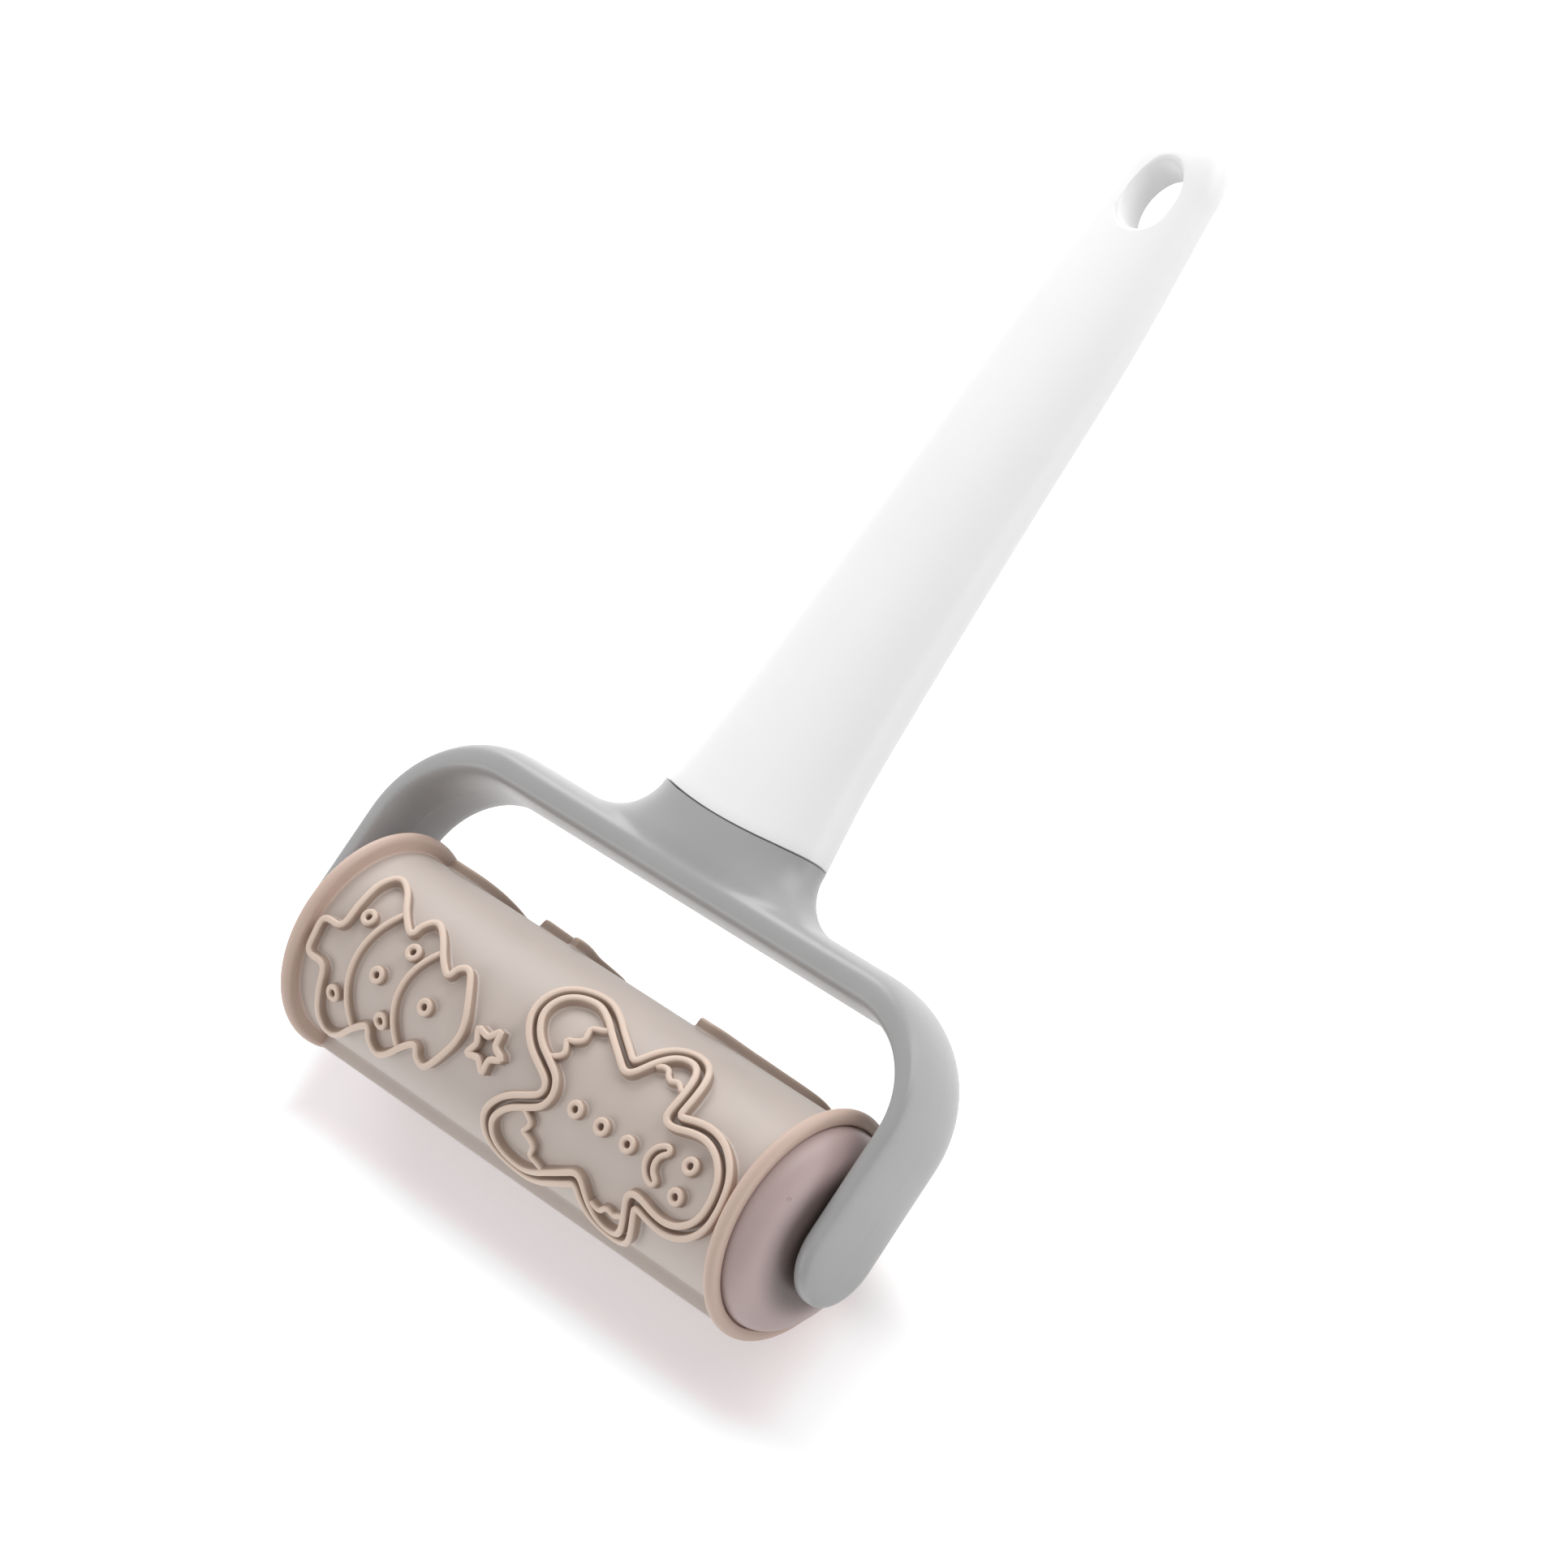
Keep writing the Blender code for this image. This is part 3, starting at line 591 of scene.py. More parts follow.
def gingerbread_man() -> Motif:
    """Draw the gingerbread man, whose outline is a pair of ribs.

    Returns:
        The motif.
    """
    leg = ((10.1, 0.0), (9.2, 1.9), (6.4, 3.5), (3.5, 5.0), (1.2, 6.9), (-0.6, 9.6), (-0.8, 12.6),
           (0.4, 15.4), (3.0, 17.3), (6.6, 17.9), (10.2, 16.5), (13.8, 14.2), (17.4, 12.0), (20.3, 10.2))
    arm = ((20.3, 10.2), (21.3, 12.2), (22.4, 14.7), (24.1, 17.2), (26.7, 18.4), (29.4, 17.8),
           (31.2, 15.5), (32.1, 12.6), (32.4, 10.0), (32.4, 7.2))
    head = ((32.4, 7.2), (34.3, 7.4), (37.0, 8.2), (39.9, 8.5), (42.9, 7.7), (45.6, 5.8), (47.4, 3.2),
            (48.0, 0.0))
    half = Line.curve(leg)[:-1] + Line.curve(arm)[:-1] + Line.curve(head)
    whole = half[1:] + [(x, -q) for x, q in reversed(half[:-1])] + [(x, -q) for x, q in half[:1]]
    middle = Line(whole).evened(0.35)
    outer, inner = middle.parallel(1.0), middle.parallel(-1.0)
    motif = Motif(Row.FRONT, lines=[outer, inner], floors=[inner])
    foot_icing = ((6.1, 4.8), (7.2, 5.3), (8.4, 6.4), (7.9, 7.6), (7.2, 8.6), (8.6, 9.2), (9.7, 10.2),
                  (9.3, 11.6), (9.2, 12.6), (10.9, 13.4), (12.0, 14.2))
    hand_icing = ((23.7, 13.5), (24.6, 14.0), (25.6, 13.9), (26.4, 13.0), (27.5, 12.5), (28.3, 12.9),
                  (29.1, 12.9), (30.1, 12.2), (31.0, 12.1))
    for icing in (foot_icing, hand_icing):
        motif.add_mirrored(Line.thin(Line.curve(icing, 0.4)))
    motif.add_rings(((16.0, 0.0), (22.0, 0.0), (28.0, 0.0), (40.4, 2.75), (40.4, -2.75)))
    outer = arc((36.0, 0.0), (3.6, 3.6), 100, 260, 24)
    inner = arc((37.1, 0.0), (2.9, 2.7), 248, 112, 18)
    motif.lines.append(Line.thin(outer + inner, closed=True).evened(0.3, 4))
    return motif


def whole_line(side: list[Point2]) -> list[Point2]:
    """Return one side of an outline and its mirror image, as one closed round."""
    return side + [(x, -q) for x, q in reversed(side[1:-1])]


def star(centre: Point2, radius: float, reach: float) -> Line:
    """Return a five-pointed star with one point along the roller.

    Args:
        centre: The star's middle.
        radius: The distance to its points.
        reach: How far its corners are rounded.

    Returns:
        The star's outline.
    """
    corners = [away(centre, pi * i / 5.0, r) for i, r in enumerate((radius, 0.45 * radius) * 5)]
    return Line(Line.rounded(corners, reach))


def fir_tree() -> Motif:
    """Draw a decorated fir tree with a star.

    Returns:
        The motif.
    """
    side = ((-48.2, 0.0), (-47.9, 3.2), (-43.9, 3.8), (-43.6, 8.4), (-43.6, 13.4), (-42.0, 16.4),
            (-38.8, 15.2), (-34.8, 11.4), (-31.0, 8.8), (-30.6, 11.0), (-28.8, 13.2), (-25.8, 11.6),
            (-22.2, 8.2), (-19.4, 6.4), (-18.9, 8.2), (-17.0, 9.4), (-14.4, 6.8), (-11.8, 2.8),
            (-11.0, 0.0))
    outline = Line(whole_line(Line.curve(side))).evened()
    motif = Motif(Row.FRONT, lines=[outline, star((-5.2, 0.0), 4.2, 0.7)], floors=[outline])
    for x, reach in ((-35.0, 11.4), (-23.6, 9.4)):
        shares = [i / 12.0 - 1.0 for i in range(25)]
        motif.lines.append(Line.thin([(x - 3.2 * (1.0 - share ** 2), reach * share) for share in shares]))
    baubles = ((-40.4, 7.4), (-40.4, -7.4), (-32.4, 0.0), (-28.4, 6.6), (-28.4, -6.6), (-20.4, 0.0))
    motif.add_rings(baubles)
    return motif


def upper_row() -> Motif:
    """Draw the heart, star and bell on the side towards the cross bar.

    Returns:
        The motif.
    """
    heart = Line.curve(((-31.0, 0.0), (-38.0, 7.6), (-44.6, 11.0), (-48.2, 6.4), (-45.4, 0.0)))
    bell = Line.curve(((41.0, 0.0), (39.0, 5.4), (30.0, 7.0), (22.0, 8.4), (17.6, 12.0)))
    lines = [Line(whole_line(heart)).evened(), star((-17.4, -2.4), 9.6, 1.2),
             Line(whole_line(bell + [(15.4, 12.0), (15.4, 0.0)])).evened()]
    return Motif(Row.TOWARDS_BAR, lines=lines, floors=lines)


def lower_row() -> Motif:
    """Draw the mitten and the snowflake on the side away from the cross bar.

    Returns:
        The motif.
    """
    cuff = ((-46.0, -7.4), (-46.0, 7.4), (-39.4, 7.4), (-39.4, -7.4))
    hand = ((-39.4, 6.4), (-24.0, 8.4), (-14.4, 5.4), (-14.4, -3.6), (-22.0, -6.2), (-28.0, -5.6))
    thumb = ((-28.0, -5.6), (-22.4, -9.8), (-24.6, -12.6), (-31.0, -10.4), (-39.4, -5.6))
    mitten = Line(Line.curve(hand) + Line.curve(thumb)[1:], closed=False).evened(rounds=4)
    motif = Motif(Row.AWAY_FROM_BAR, lines=[Line(Line.rounded(cuff, 1.0)), mitten])
    centre, hub, reach = (26.0, 0.0), 1.9, 11.4
    fork, barb, spread = 7.0, 3.6, radians(55.0)
    motif.add_rings((centre,), hub)
    for spoke in range(6):
        turn = pi * spoke / 3.0 + pi / 6.0
        motif.lines.append(Line([away(centre, turn, hub), away(centre, turn, reach)], closed=False))
        root = away(centre, turn, fork)
        left, right = (away(root, turn + lean, barb) for lean in (spread, -spread))
        barbs = Line.rounded([left, root, right], 0.8, closed=False)
        motif.lines.append(Line(barbs, closed=False))
    return motif


def cut_rib() -> Motif:
    """Return the straight rib from flange to flange, which cuts the printed strip off."""
    return Motif(Row.CUT, lines=[Line([(-50.4, 0.0), (50.4, 0.0)], closed=False, height=2.6)])


# Finishes

class Nodes:
    """Places and joins the nodes of one tree."""

    def __init__(self, tree: bpy.types.NodeTree) -> None:
        """Start with a tree's own nodes.

        Args:
            tree: The node tree to fill.
        """
        self.tree = tree

    def add(self, kind: str, inputs: Optional[dict] = None, **settings: object) -> bpy.types.Node:
        """Add a node.

        Args:
            kind: The node's Blender type.
            inputs: What each named or numbered input gets: a socket to link, or a value.
            settings: Properties of the node.

        Returns:
            The node.
        """
        node = self.tree.nodes.new(kind)
        for key, value in settings.items():
            setattr(node, key, value)
        self.feed_all(node.inputs, inputs or {})
        return node

    def feed(self, socket: bpy.types.NodeSocket, value: object) -> None:
        """Link a socket to another one, or set its value.

        Args:
            socket: The socket to feed.
            value: The socket to link it to, or the value.
        """
        if isinstance(value, bpy.types.NodeSocket):
            self.tree.links.new(value, socket)
        else:
            socket.default_value = value

    def feed_all(self, sockets: object, inputs: dict) -> None:
        """Feed several sockets, by their names or numbers."""
        for key, value in inputs.items():
            self.feed(sockets[key], value)

    def group(self, name: str, values: Optional[dict] = None) -> bpy.types.bpy_prop_collection:
        """Place a node group and return its outputs."""
        return self.add("ShaderNodeGroup", values, node_tree=bpy.data.node_groups[name]).outputs

    def math(self, operation: str, *values: object) -> bpy.types.NodeSocket:
        """Add a Math node and return its result."""
        return self.add("ShaderNodeMath", dict(enumerate(values)), operation=operation).outputs[0]

    def vector(self, operation: str, *values: object) -> bpy.types.bpy_prop_collection:
        """Add a Vector Math node and return its outputs."""
        return self.add("ShaderNodeVectorMath", dict(enumerate(values)), operation=operation).outputs

    def noise(self, place: object, scale: object, detail: float, roughness: float = 0.5,
              distortion: float = 0.0) -> bpy.types.NodeSocket:
        """Add a noise texture.

        Args:
            place: The socket of the point to read it at.
            scale: How fine it is, per metre.
            detail: How many finer noises are laid over it.
            roughness: How strong those are.
            distortion: How far it is pulled about.

        Returns:
            The socket of its value.
        """
        inputs = {"Vector": place, "Scale": scale, "Detail": detail, "Roughness": roughness,
                  "Distortion": distortion}
        return self.add("ShaderNodeTexNoise", inputs).outputs[0]

    def ramp(self, value: object, low: float, high: float, bottom: float = 0.0,
             top: float = 1.0) -> bpy.types.NodeSocket:
        """Add a smooth step from one level to another.

        Args:
            value: The socket to read.
            low: Where the step starts.
            high: Where it ends.
            bottom: The result before the step.
            top: The result after it.

        Returns:
            The result's socket.
        """
        inputs = {"Value": value, "From Min": low, "From Max": high, "To Min": bottom, "To Max": top}
        return self.add("ShaderNodeMapRange", inputs, interpolation_type="SMOOTHSTEP").outputs["Result"]

    def fade(self, place: object, ends: Point2, bottom: float = 0.0,
             top: float = 1.0) -> bpy.types.NodeSocket:
        """Add a smooth step between two places that are given in millimetres."""
        return self.ramp(place, ends[0] * MM, ends[1] * MM, bottom, top)

    def drift(self, flow: object, bottom: float = 0.0, top: float = 1.0) -> bpy.types.NodeSocket:
        """Return a level that drifts between two others as a noise does."""
        return self.ramp(flow, *NOISE_RANGE, bottom, top)

    def shown(self) -> bpy.types.NodeSocket:
        """Find out whether a surface is only looked at, and not lighting another one.

        Returns:
            The socket of a mask, 1 for what the camera sees, straight or in a mirror or a glass.
        """
        rays = self.add("ShaderNodeLightPath").outputs
        mirrored = self.math("MAXIMUM", rays["Is Glossy Ray"], rays["Is Transmission Ray"])
        return self.math("MAXIMUM", rays["Is Camera Ray"], mirrored)

    def mix(self, share: object, one: object, two: object) -> bpy.types.NodeSocket:
        """Add a colour mix.

        Args:
            share: How much of the second colour is taken.
            one: The first colour.
            two: The second colour.

        Returns:
            The mixed colour's socket.
        """
        node = self.add("ShaderNodeMix", data_type="RGBA")
        sockets = {s.identifier: s for s in node.inputs}
        self.feed_all(sockets, {"Factor_Float": share, "A_Color": one, "B_Color": two})
        return {s.identifier: s for s in node.outputs}["Result_Color"]


def new_material(name: str) -> tuple[bpy.types.Material, Nodes, bpy.types.Node]:
    """Start a material.

    Args:
        name: Its name.

    Returns:
        The material, the helper that fills it, and its shader.
    """
    material = bpy.data.materials.new(name)
    material.use_nodes = True
    return material, Nodes(material.node_tree), material.node_tree.nodes["Principled BSDF"]


def new_group(name: str, inputs: dict[str, float], outputs: Sequence[str]) -> Nodes:
    """Start a shader node group whose inputs and outputs are numbers.

    Args:
        name: The group's name.
        inputs: Its inputs and what they hold at first.
        outputs: Its outputs.

    Returns:
        The helper that fills the group.
    """
    group = bpy.data.node_groups.new(name, "ShaderNodeTree")
    for label, value in inputs.items():
        socket = group.interface.new_socket(label, in_out="INPUT", socket_type="NodeSocketFloat")
        socket.default_value = value
    for label in outputs:
        group.interface.new_socket(label, in_out="OUTPUT", socket_type="NodeSocketFloat")
    return Nodes(group)


def moulded_skin_group() -> None:
    """Make the group of the fine skin that a steel mould leaves on plastic.

    Its outputs are Height, in metres, for a bump, and Flow, from 0 to 1, which drifts
    slowly along the piece as the plastic flowed.
    """
    nodes = new_group("moulded_skin", {"Grain per mm": 5.0, "Grain depth": 0.004, "Flow per mm": 0.05},
                      ("Height", "Flow"))
    source = nodes.add("NodeGroupInput").outputs
    place = nodes.add("ShaderNodeTexCoord").outputs["Object"]
    grain = nodes.noise(place, nodes.math("MULTIPLY", source["Grain per mm"], 1.0 / MM), 2.0, 0.55)
    ripple = nodes.noise(place, RIPPLE_PER_MM / MM, 1.0)
    flow = nodes.noise(place, nodes.math("MULTIPLY", source["Flow per mm"], 1.0 / MM), 3.0, 0.6, 0.4)
    fine = nodes.math("MULTIPLY", nodes.math("MULTIPLY", grain, source["Grain depth"]), MM)
    wide = nodes.math("MULTIPLY", ripple, RIPPLE_DEPTH * MM)
    nodes.add("NodeGroupOutput", {"Height": nodes.math("ADD", fine, wide), "Flow": flow})


def parting_line_group() -> None:
    """Make the group of the faint line where two mould halves met, at the tool's middle plane.

    Its output Height, in metres, is a low ridge for a bump.
    """
    nodes = new_group("parting_line", {"Half width mm": 0.12, "Rise mm": 0.03, "Lean": 0.0}, ("Height",))
    source = nodes.add("NodeGroupInput").outputs
    place = nodes.add("ShaderNodeTexCoord").outputs["Object"]
    split = nodes.add("ShaderNodeSeparateXYZ", {"Vector": place}).outputs
    level = nodes.math("ADD", nodes.math("MULTIPLY", split["Y"], nodes.math("SINE", source["Lean"])),
                       nodes.math("MULTIPLY", split["Z"], nodes.math("COSINE", source["Lean"])))
    reach = nodes.math("MULTIPLY", source["Half width mm"], MM)
    near = nodes.math("SUBTRACT", 1.0, nodes.math("DIVIDE", nodes.math("ABSOLUTE", level), reach))
    ridge = nodes.math("MULTIPLY", nodes.math("MAXIMUM", near, 0.0), source["Rise mm"])
    nodes.add("NodeGroupOutput", {"Height": nodes.math("MULTIPLY", ridge, MM)})


def round_axle_group() -> None:
    """Make the group that tells how a point of the roller lies round its axle.

    Its outputs are Reach, the distance from the axle in metres, Facing, how far the surface
    faces away from the axle, and Toward, how far the way out to the point runs along +Y.
    """
    nodes = new_group("round_axle", {}, ("Reach", "Facing", "Toward"))
    place = nodes.add("ShaderNodeTexCoord").outputs
    flat = nodes.vector("MULTIPLY", place["Object"], (0.0, 1.0, 1.0))["Vector"]
    outward = nodes.vector("NORMALIZE", flat)["Vector"]
    nodes.add("NodeGroupOutput", {
        "Reach": nodes.vector("LENGTH", flat)["Value"],
        "Facing": nodes.vector("DOT_PRODUCT", place["Normal"], outward)["Value"],
        "Toward": nodes.add("ShaderNodeSeparateXYZ", {"Vector": outward}).outputs["Y"]})


def linear(red: int, green: int, blue: int) -> Colour:
    """Return a colour given as it shows on a screen, from 0 to 255, as linear light."""
    parts = [c / 255.0 for c in (red, green, blue)]
    return (*[c / 12.92 if c <= 0.04045 else ((c + 0.055) / 1.055) ** 2.4 for c in parts], 1.0)


def scaled(colour: Colour, share: float) -> Colour:
    """Return a colour with its light multiplied, up to white."""
    return (*[min(c * share, 1.0) for c in colour[:3]], 1.0)


@dataclass(frozen=True)
class Finish:
    """What a piece is made of.

    Attributes:
        name: The material's name.
        colour: Its colour.
        roughness: Its mean roughness.
    """

    name: str
    colour: Colour
    roughness: float

    def build(self, tilt: float) -> bpy.types.Material:
        """Make the material.

        Args:
            tilt: How far the tool leans, in radians.

        Returns:
            The material.
        """
        material, nodes, shader = new_material(self.name)
        nodes.feed_all(shader.inputs, self.inputs(nodes, tilt))
        return material

    def inputs(self, nodes: Nodes, tilt: float) -> dict:
        """Return what the shader of this kind of finish gets."""
        raise NotImplementedError


@dataclass(frozen=True)
class Plastic(Finish):
    """A moulded plastic.

    Attributes:
        grain_depth: The depth of its fine grain, in millimetres.
        mottle: How far its colour drifts, as a share.
        gloss_drift: How far its roughness drifts.
        parting_rise: The height of its parting line, in millimetres, or 0 for none.
        coat: The weight of the glossy skin on it.
        coat_roughness: That skin's roughness.
        sheen: The weight of the pale bloom where it is seen at a slant.
        sheen_roughness: How widely that bloom spreads.
    """

    grain_depth: float = 0.004
    mottle: float = 0.03
    gloss_drift: float = 0.03
    parting_rise: float = 0.0
    coat: float = 0.0
    coat_roughness: float = 0.12
    sheen: float = 0.0
    sheen_roughness: float = 0.45

    def inputs(self, nodes: Nodes, tilt: float) -> dict:
        """Add the nodes of the grain, the parting line, the colour and the gloss.

        Args:
            nodes: The material's nodes.
            tilt: How far the tool leans, in radians.

        Returns:
            What each of the shader's sockets gets.
        """
        skin = nodes.group("moulded_skin", {"Grain depth": self.grain_depth})
        height = skin["Height"]
        if self.parting_rise:
            parting = nodes.group("parting_line", {"Rise mm": self.parting_rise, "Lean": tilt})
            height = nodes.math("ADD", height, parting["Height"])
        bump = nodes.add("ShaderNodeBump", {"Height": height, "Strength": 1.0, "Distance": 1.0})
        dull, bright = self.roughness + self.gloss_drift, self.roughness - self.gloss_drift
        return {"Normal": bump.outputs["Normal"], "Roughness": nodes.drift(skin["Flow"], bright, dull),
                "Base Color": self.tint(nodes, skin["Flow"]),
                "Coat Weight": self.coat, "Coat Roughness": self.coat_roughness,
                "Sheen Weight": self.sheen, "Sheen Roughness": self.sheen_roughness}

    def tint(self, nodes: Nodes, flow: bpy.types.NodeSocket) -> bpy.types.NodeSocket:
        """Mix the base colour.

        Args:
            nodes: The material's nodes.
            flow: The slow drift along the piece, from 0 to 1.

        Returns:
            The colour's socket.
        """
        dark, light = scaled(self.colour, 1.0 - self.mottle), scaled(self.colour, 1.0 + self.mottle)
        return nodes.mix(nodes.drift(flow), dark, light)


@dataclass(frozen=True)
class RollerPlastic(Plastic):
    """The roller's plastic, with painted shade on the sides of the drawn ribs and a paler crest colour,
    partly the ribs' own paler tone and partly painted highlight.

    Attributes:
        rib_radii: The radii between which a rib's side takes its painted shade colour.
        crest_radii: The radii between which that turns into the crest's colour.
        crest_facing: How far a surface faces outwards, from where a crest starts to where it is whole.
        flange_x: The places along the roller between which a flange's colour starts.
        cut_toward: How far towards +Y the row of the straight rib lies, and where the next ones start.
        side: The painted shade colour of the ribs' sides.
        crest: The colour of the crests, partly their own paler tone and partly painted highlight.
        flange: The colour of the flanges.
    """

    rib_radii: Point2 = (17.62, 17.9)
    crest_radii: Point2 = (18.2, 18.7)
    crest_facing: Point2 = (0.0, 0.55)
    flange_x: Point2 = (49.5, 50.1)
    cut_toward: Point2 = (-0.975, -0.955)
    side: Colour = (0.38, 0.27, 0.22, 1.0)
    crest: Colour = (0.70, 0.56, 0.47, 1.0)
    flange: Colour = (0.57, 0.43, 0.36, 1.0)

    def tint(self, nodes: Nodes, flow: bpy.types.NodeSocket) -> bpy.types.NodeSocket:
        """Mix the base colour, which changes with the distance from the axle.

        Args:
            nodes: The material's nodes.
            flow: The slow drift along the piece, from 0 to 1.

        Returns:
            The colour's socket. The straight rib keeps the barrel's own.
        """
        ground = super().tint(nodes, flow)
        around = nodes.group("round_axle")
        # painted shade: the ribs' sides take the side colour above these radii
        raised = nodes.fade(around["Reach"], self.rib_radii)
        # crest colour on the outward-facing rib tops, partly their own paler tone and partly painted
        # highlight
        high = nodes.fade(around["Reach"], self.crest_radii)
        crest = nodes.math("MULTIPLY", high, nodes.ramp(around["Facing"], *self.crest_facing))
        place = nodes.add("ShaderNodeTexCoord").outputs["Object"]
        split = nodes.add("ShaderNodeSeparateXYZ", {"Vector": place}).outputs
        flange = nodes.fade(nodes.math("ABSOLUTE", split["X"]), self.flange_x)
        cut_row = nodes.ramp(around["Toward"], *self.cut_toward, 1.0, 0.0)
        ribs = nodes.mix(crest, nodes.mix(raised, ground, self.side), self.crest)
        return nodes.mix(flange, nodes.mix(cut_row, ribs, ground), self.flange)


@dataclass(frozen=True)
class CapPlastic(Plastic):
    """The caps' plastic, with painted shade that darkens it round the middle, where an arm stands close.

    Attributes:
        middle: The painted shade colour next to the arm's boss.
        unshaded_radii: The radii between which the painted shade fades into the cap's own colour.
    """

    # painted shade colour round the arm's boss
    middle: Colour = (0.20, 0.16, 0.15, 1.0)
    unshaded_radii: Point2 = (10.0, 15.0)

    def tint(self, nodes: Nodes, flow: bpy.types.NodeSocket) -> bpy.types.NodeSocket:
        """Mix the base colour, with painted shade that darkens it towards the axle.

        Args:
            nodes: The material's nodes.
            flow: The slow drift along the piece, from 0 to 1.

        Returns:
            The colour's socket.
        """
        # painted shade next to the arm's boss, fading out between these radii
        unshaded = nodes.fade(nodes.group("round_axle")["Reach"], self.unshaded_radii)
        return nodes.mix(unshaded, self.middle, super().tint(nodes, flow))


@dataclass(frozen=True)
class Steel(Finish):
    """Bright drawn steel with fine rings round it.

    Attributes:
        fineness: How fine its drawn lines are, per millimetre, along and across the rod.
        gloss_drift: What its roughness gains where it is brightest and where it is dullest.
        dim: The share of its light that the dullest lines keep.
    """

    fineness: Point3 = (12.0, 0.4, 0.4)
    gloss_drift: Point2 = (-0.06, 0.08)
    dim: float = 0.93

    def inputs(self, nodes: Nodes, tilt: float) -> dict:
        """Add the nodes of the drawn lines, which run round the rod at any tilt.

        Args:
            nodes: The material's nodes.
            tilt: How far the tool leans, in radians; not used.

        Returns:
            What each of the shader's sockets gets.
        """
        place = nodes.add("ShaderNodeTexCoord").outputs["Object"]
        stretched = nodes.vector("MULTIPLY", place, [fine / MM for fine in self.fineness])["Vector"]
        lines = nodes.noise(stretched, 1.0, 2.0)
        bright, dull = (self.roughness + drift for drift in self.gloss_drift)
        tint = nodes.mix(nodes.drift(lines), scaled(self.colour, self.dim), self.colour)
        return {"Base Color": tint, "Metallic": 1.0,
                "Roughness": nodes.ramp(lines, 0.35, 0.65, bright, dull)}


# side is painted shade on the ribs' sides; crest is partly the ribs' own paler tone and partly painted
# highlight
ROLLER_FINISH = RollerPlastic("taupe_plastic", linear(194, 182, 174), 0.50, side=linear(168, 146, 132),
                              crest=linear(224, 202, 186), flange=linear(209, 184, 170))
FLOOR_FINISH = Plastic("shaded_taupe_plastic", linear(197, 184, 175), 0.46)
# middle is painted shade round the arm's boss
CAP_FINISH = CapPlastic("mauve_taupe_plastic", linear(187, 166, 163), 0.40, middle=linear(108, 93, 91))
YOKE_FINISH = Plastic("grey_plastic", linear(168, 168, 168), 0.34, grain_depth=0.003, parting_rise=0.03)
GRIP_FINISH = Plastic("white_plastic", linear(249, 249, 249), 0.40, grain_depth=0.002, mottle=0.006,
                      coat=0.15, sheen=0.4)
ROD_FINISH = Steel("drawn_steel", linear(200, 200, 202), 0.24)


def dress(piece: bpy.types.Object, placement: Placement, finish: Finish, body: Body, slot: Slot,
          *nodes: str) -> None:
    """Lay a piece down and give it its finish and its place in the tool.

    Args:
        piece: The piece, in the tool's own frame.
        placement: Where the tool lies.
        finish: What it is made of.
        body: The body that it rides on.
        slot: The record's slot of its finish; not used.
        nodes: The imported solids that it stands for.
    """
    placement.lay_down(piece)
    piece.data.materials.clear()
    piece.data.materials.append(bpy.data.materials.get(finish.name) or finish.build(placement.tilt))
    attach(piece, body.value)
    if nodes:
        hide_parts(*nodes)
    LOG.info("%s: %d faces, on %s", piece.name, len(piece.data.polygons), body.value)


# Sub-assemblies

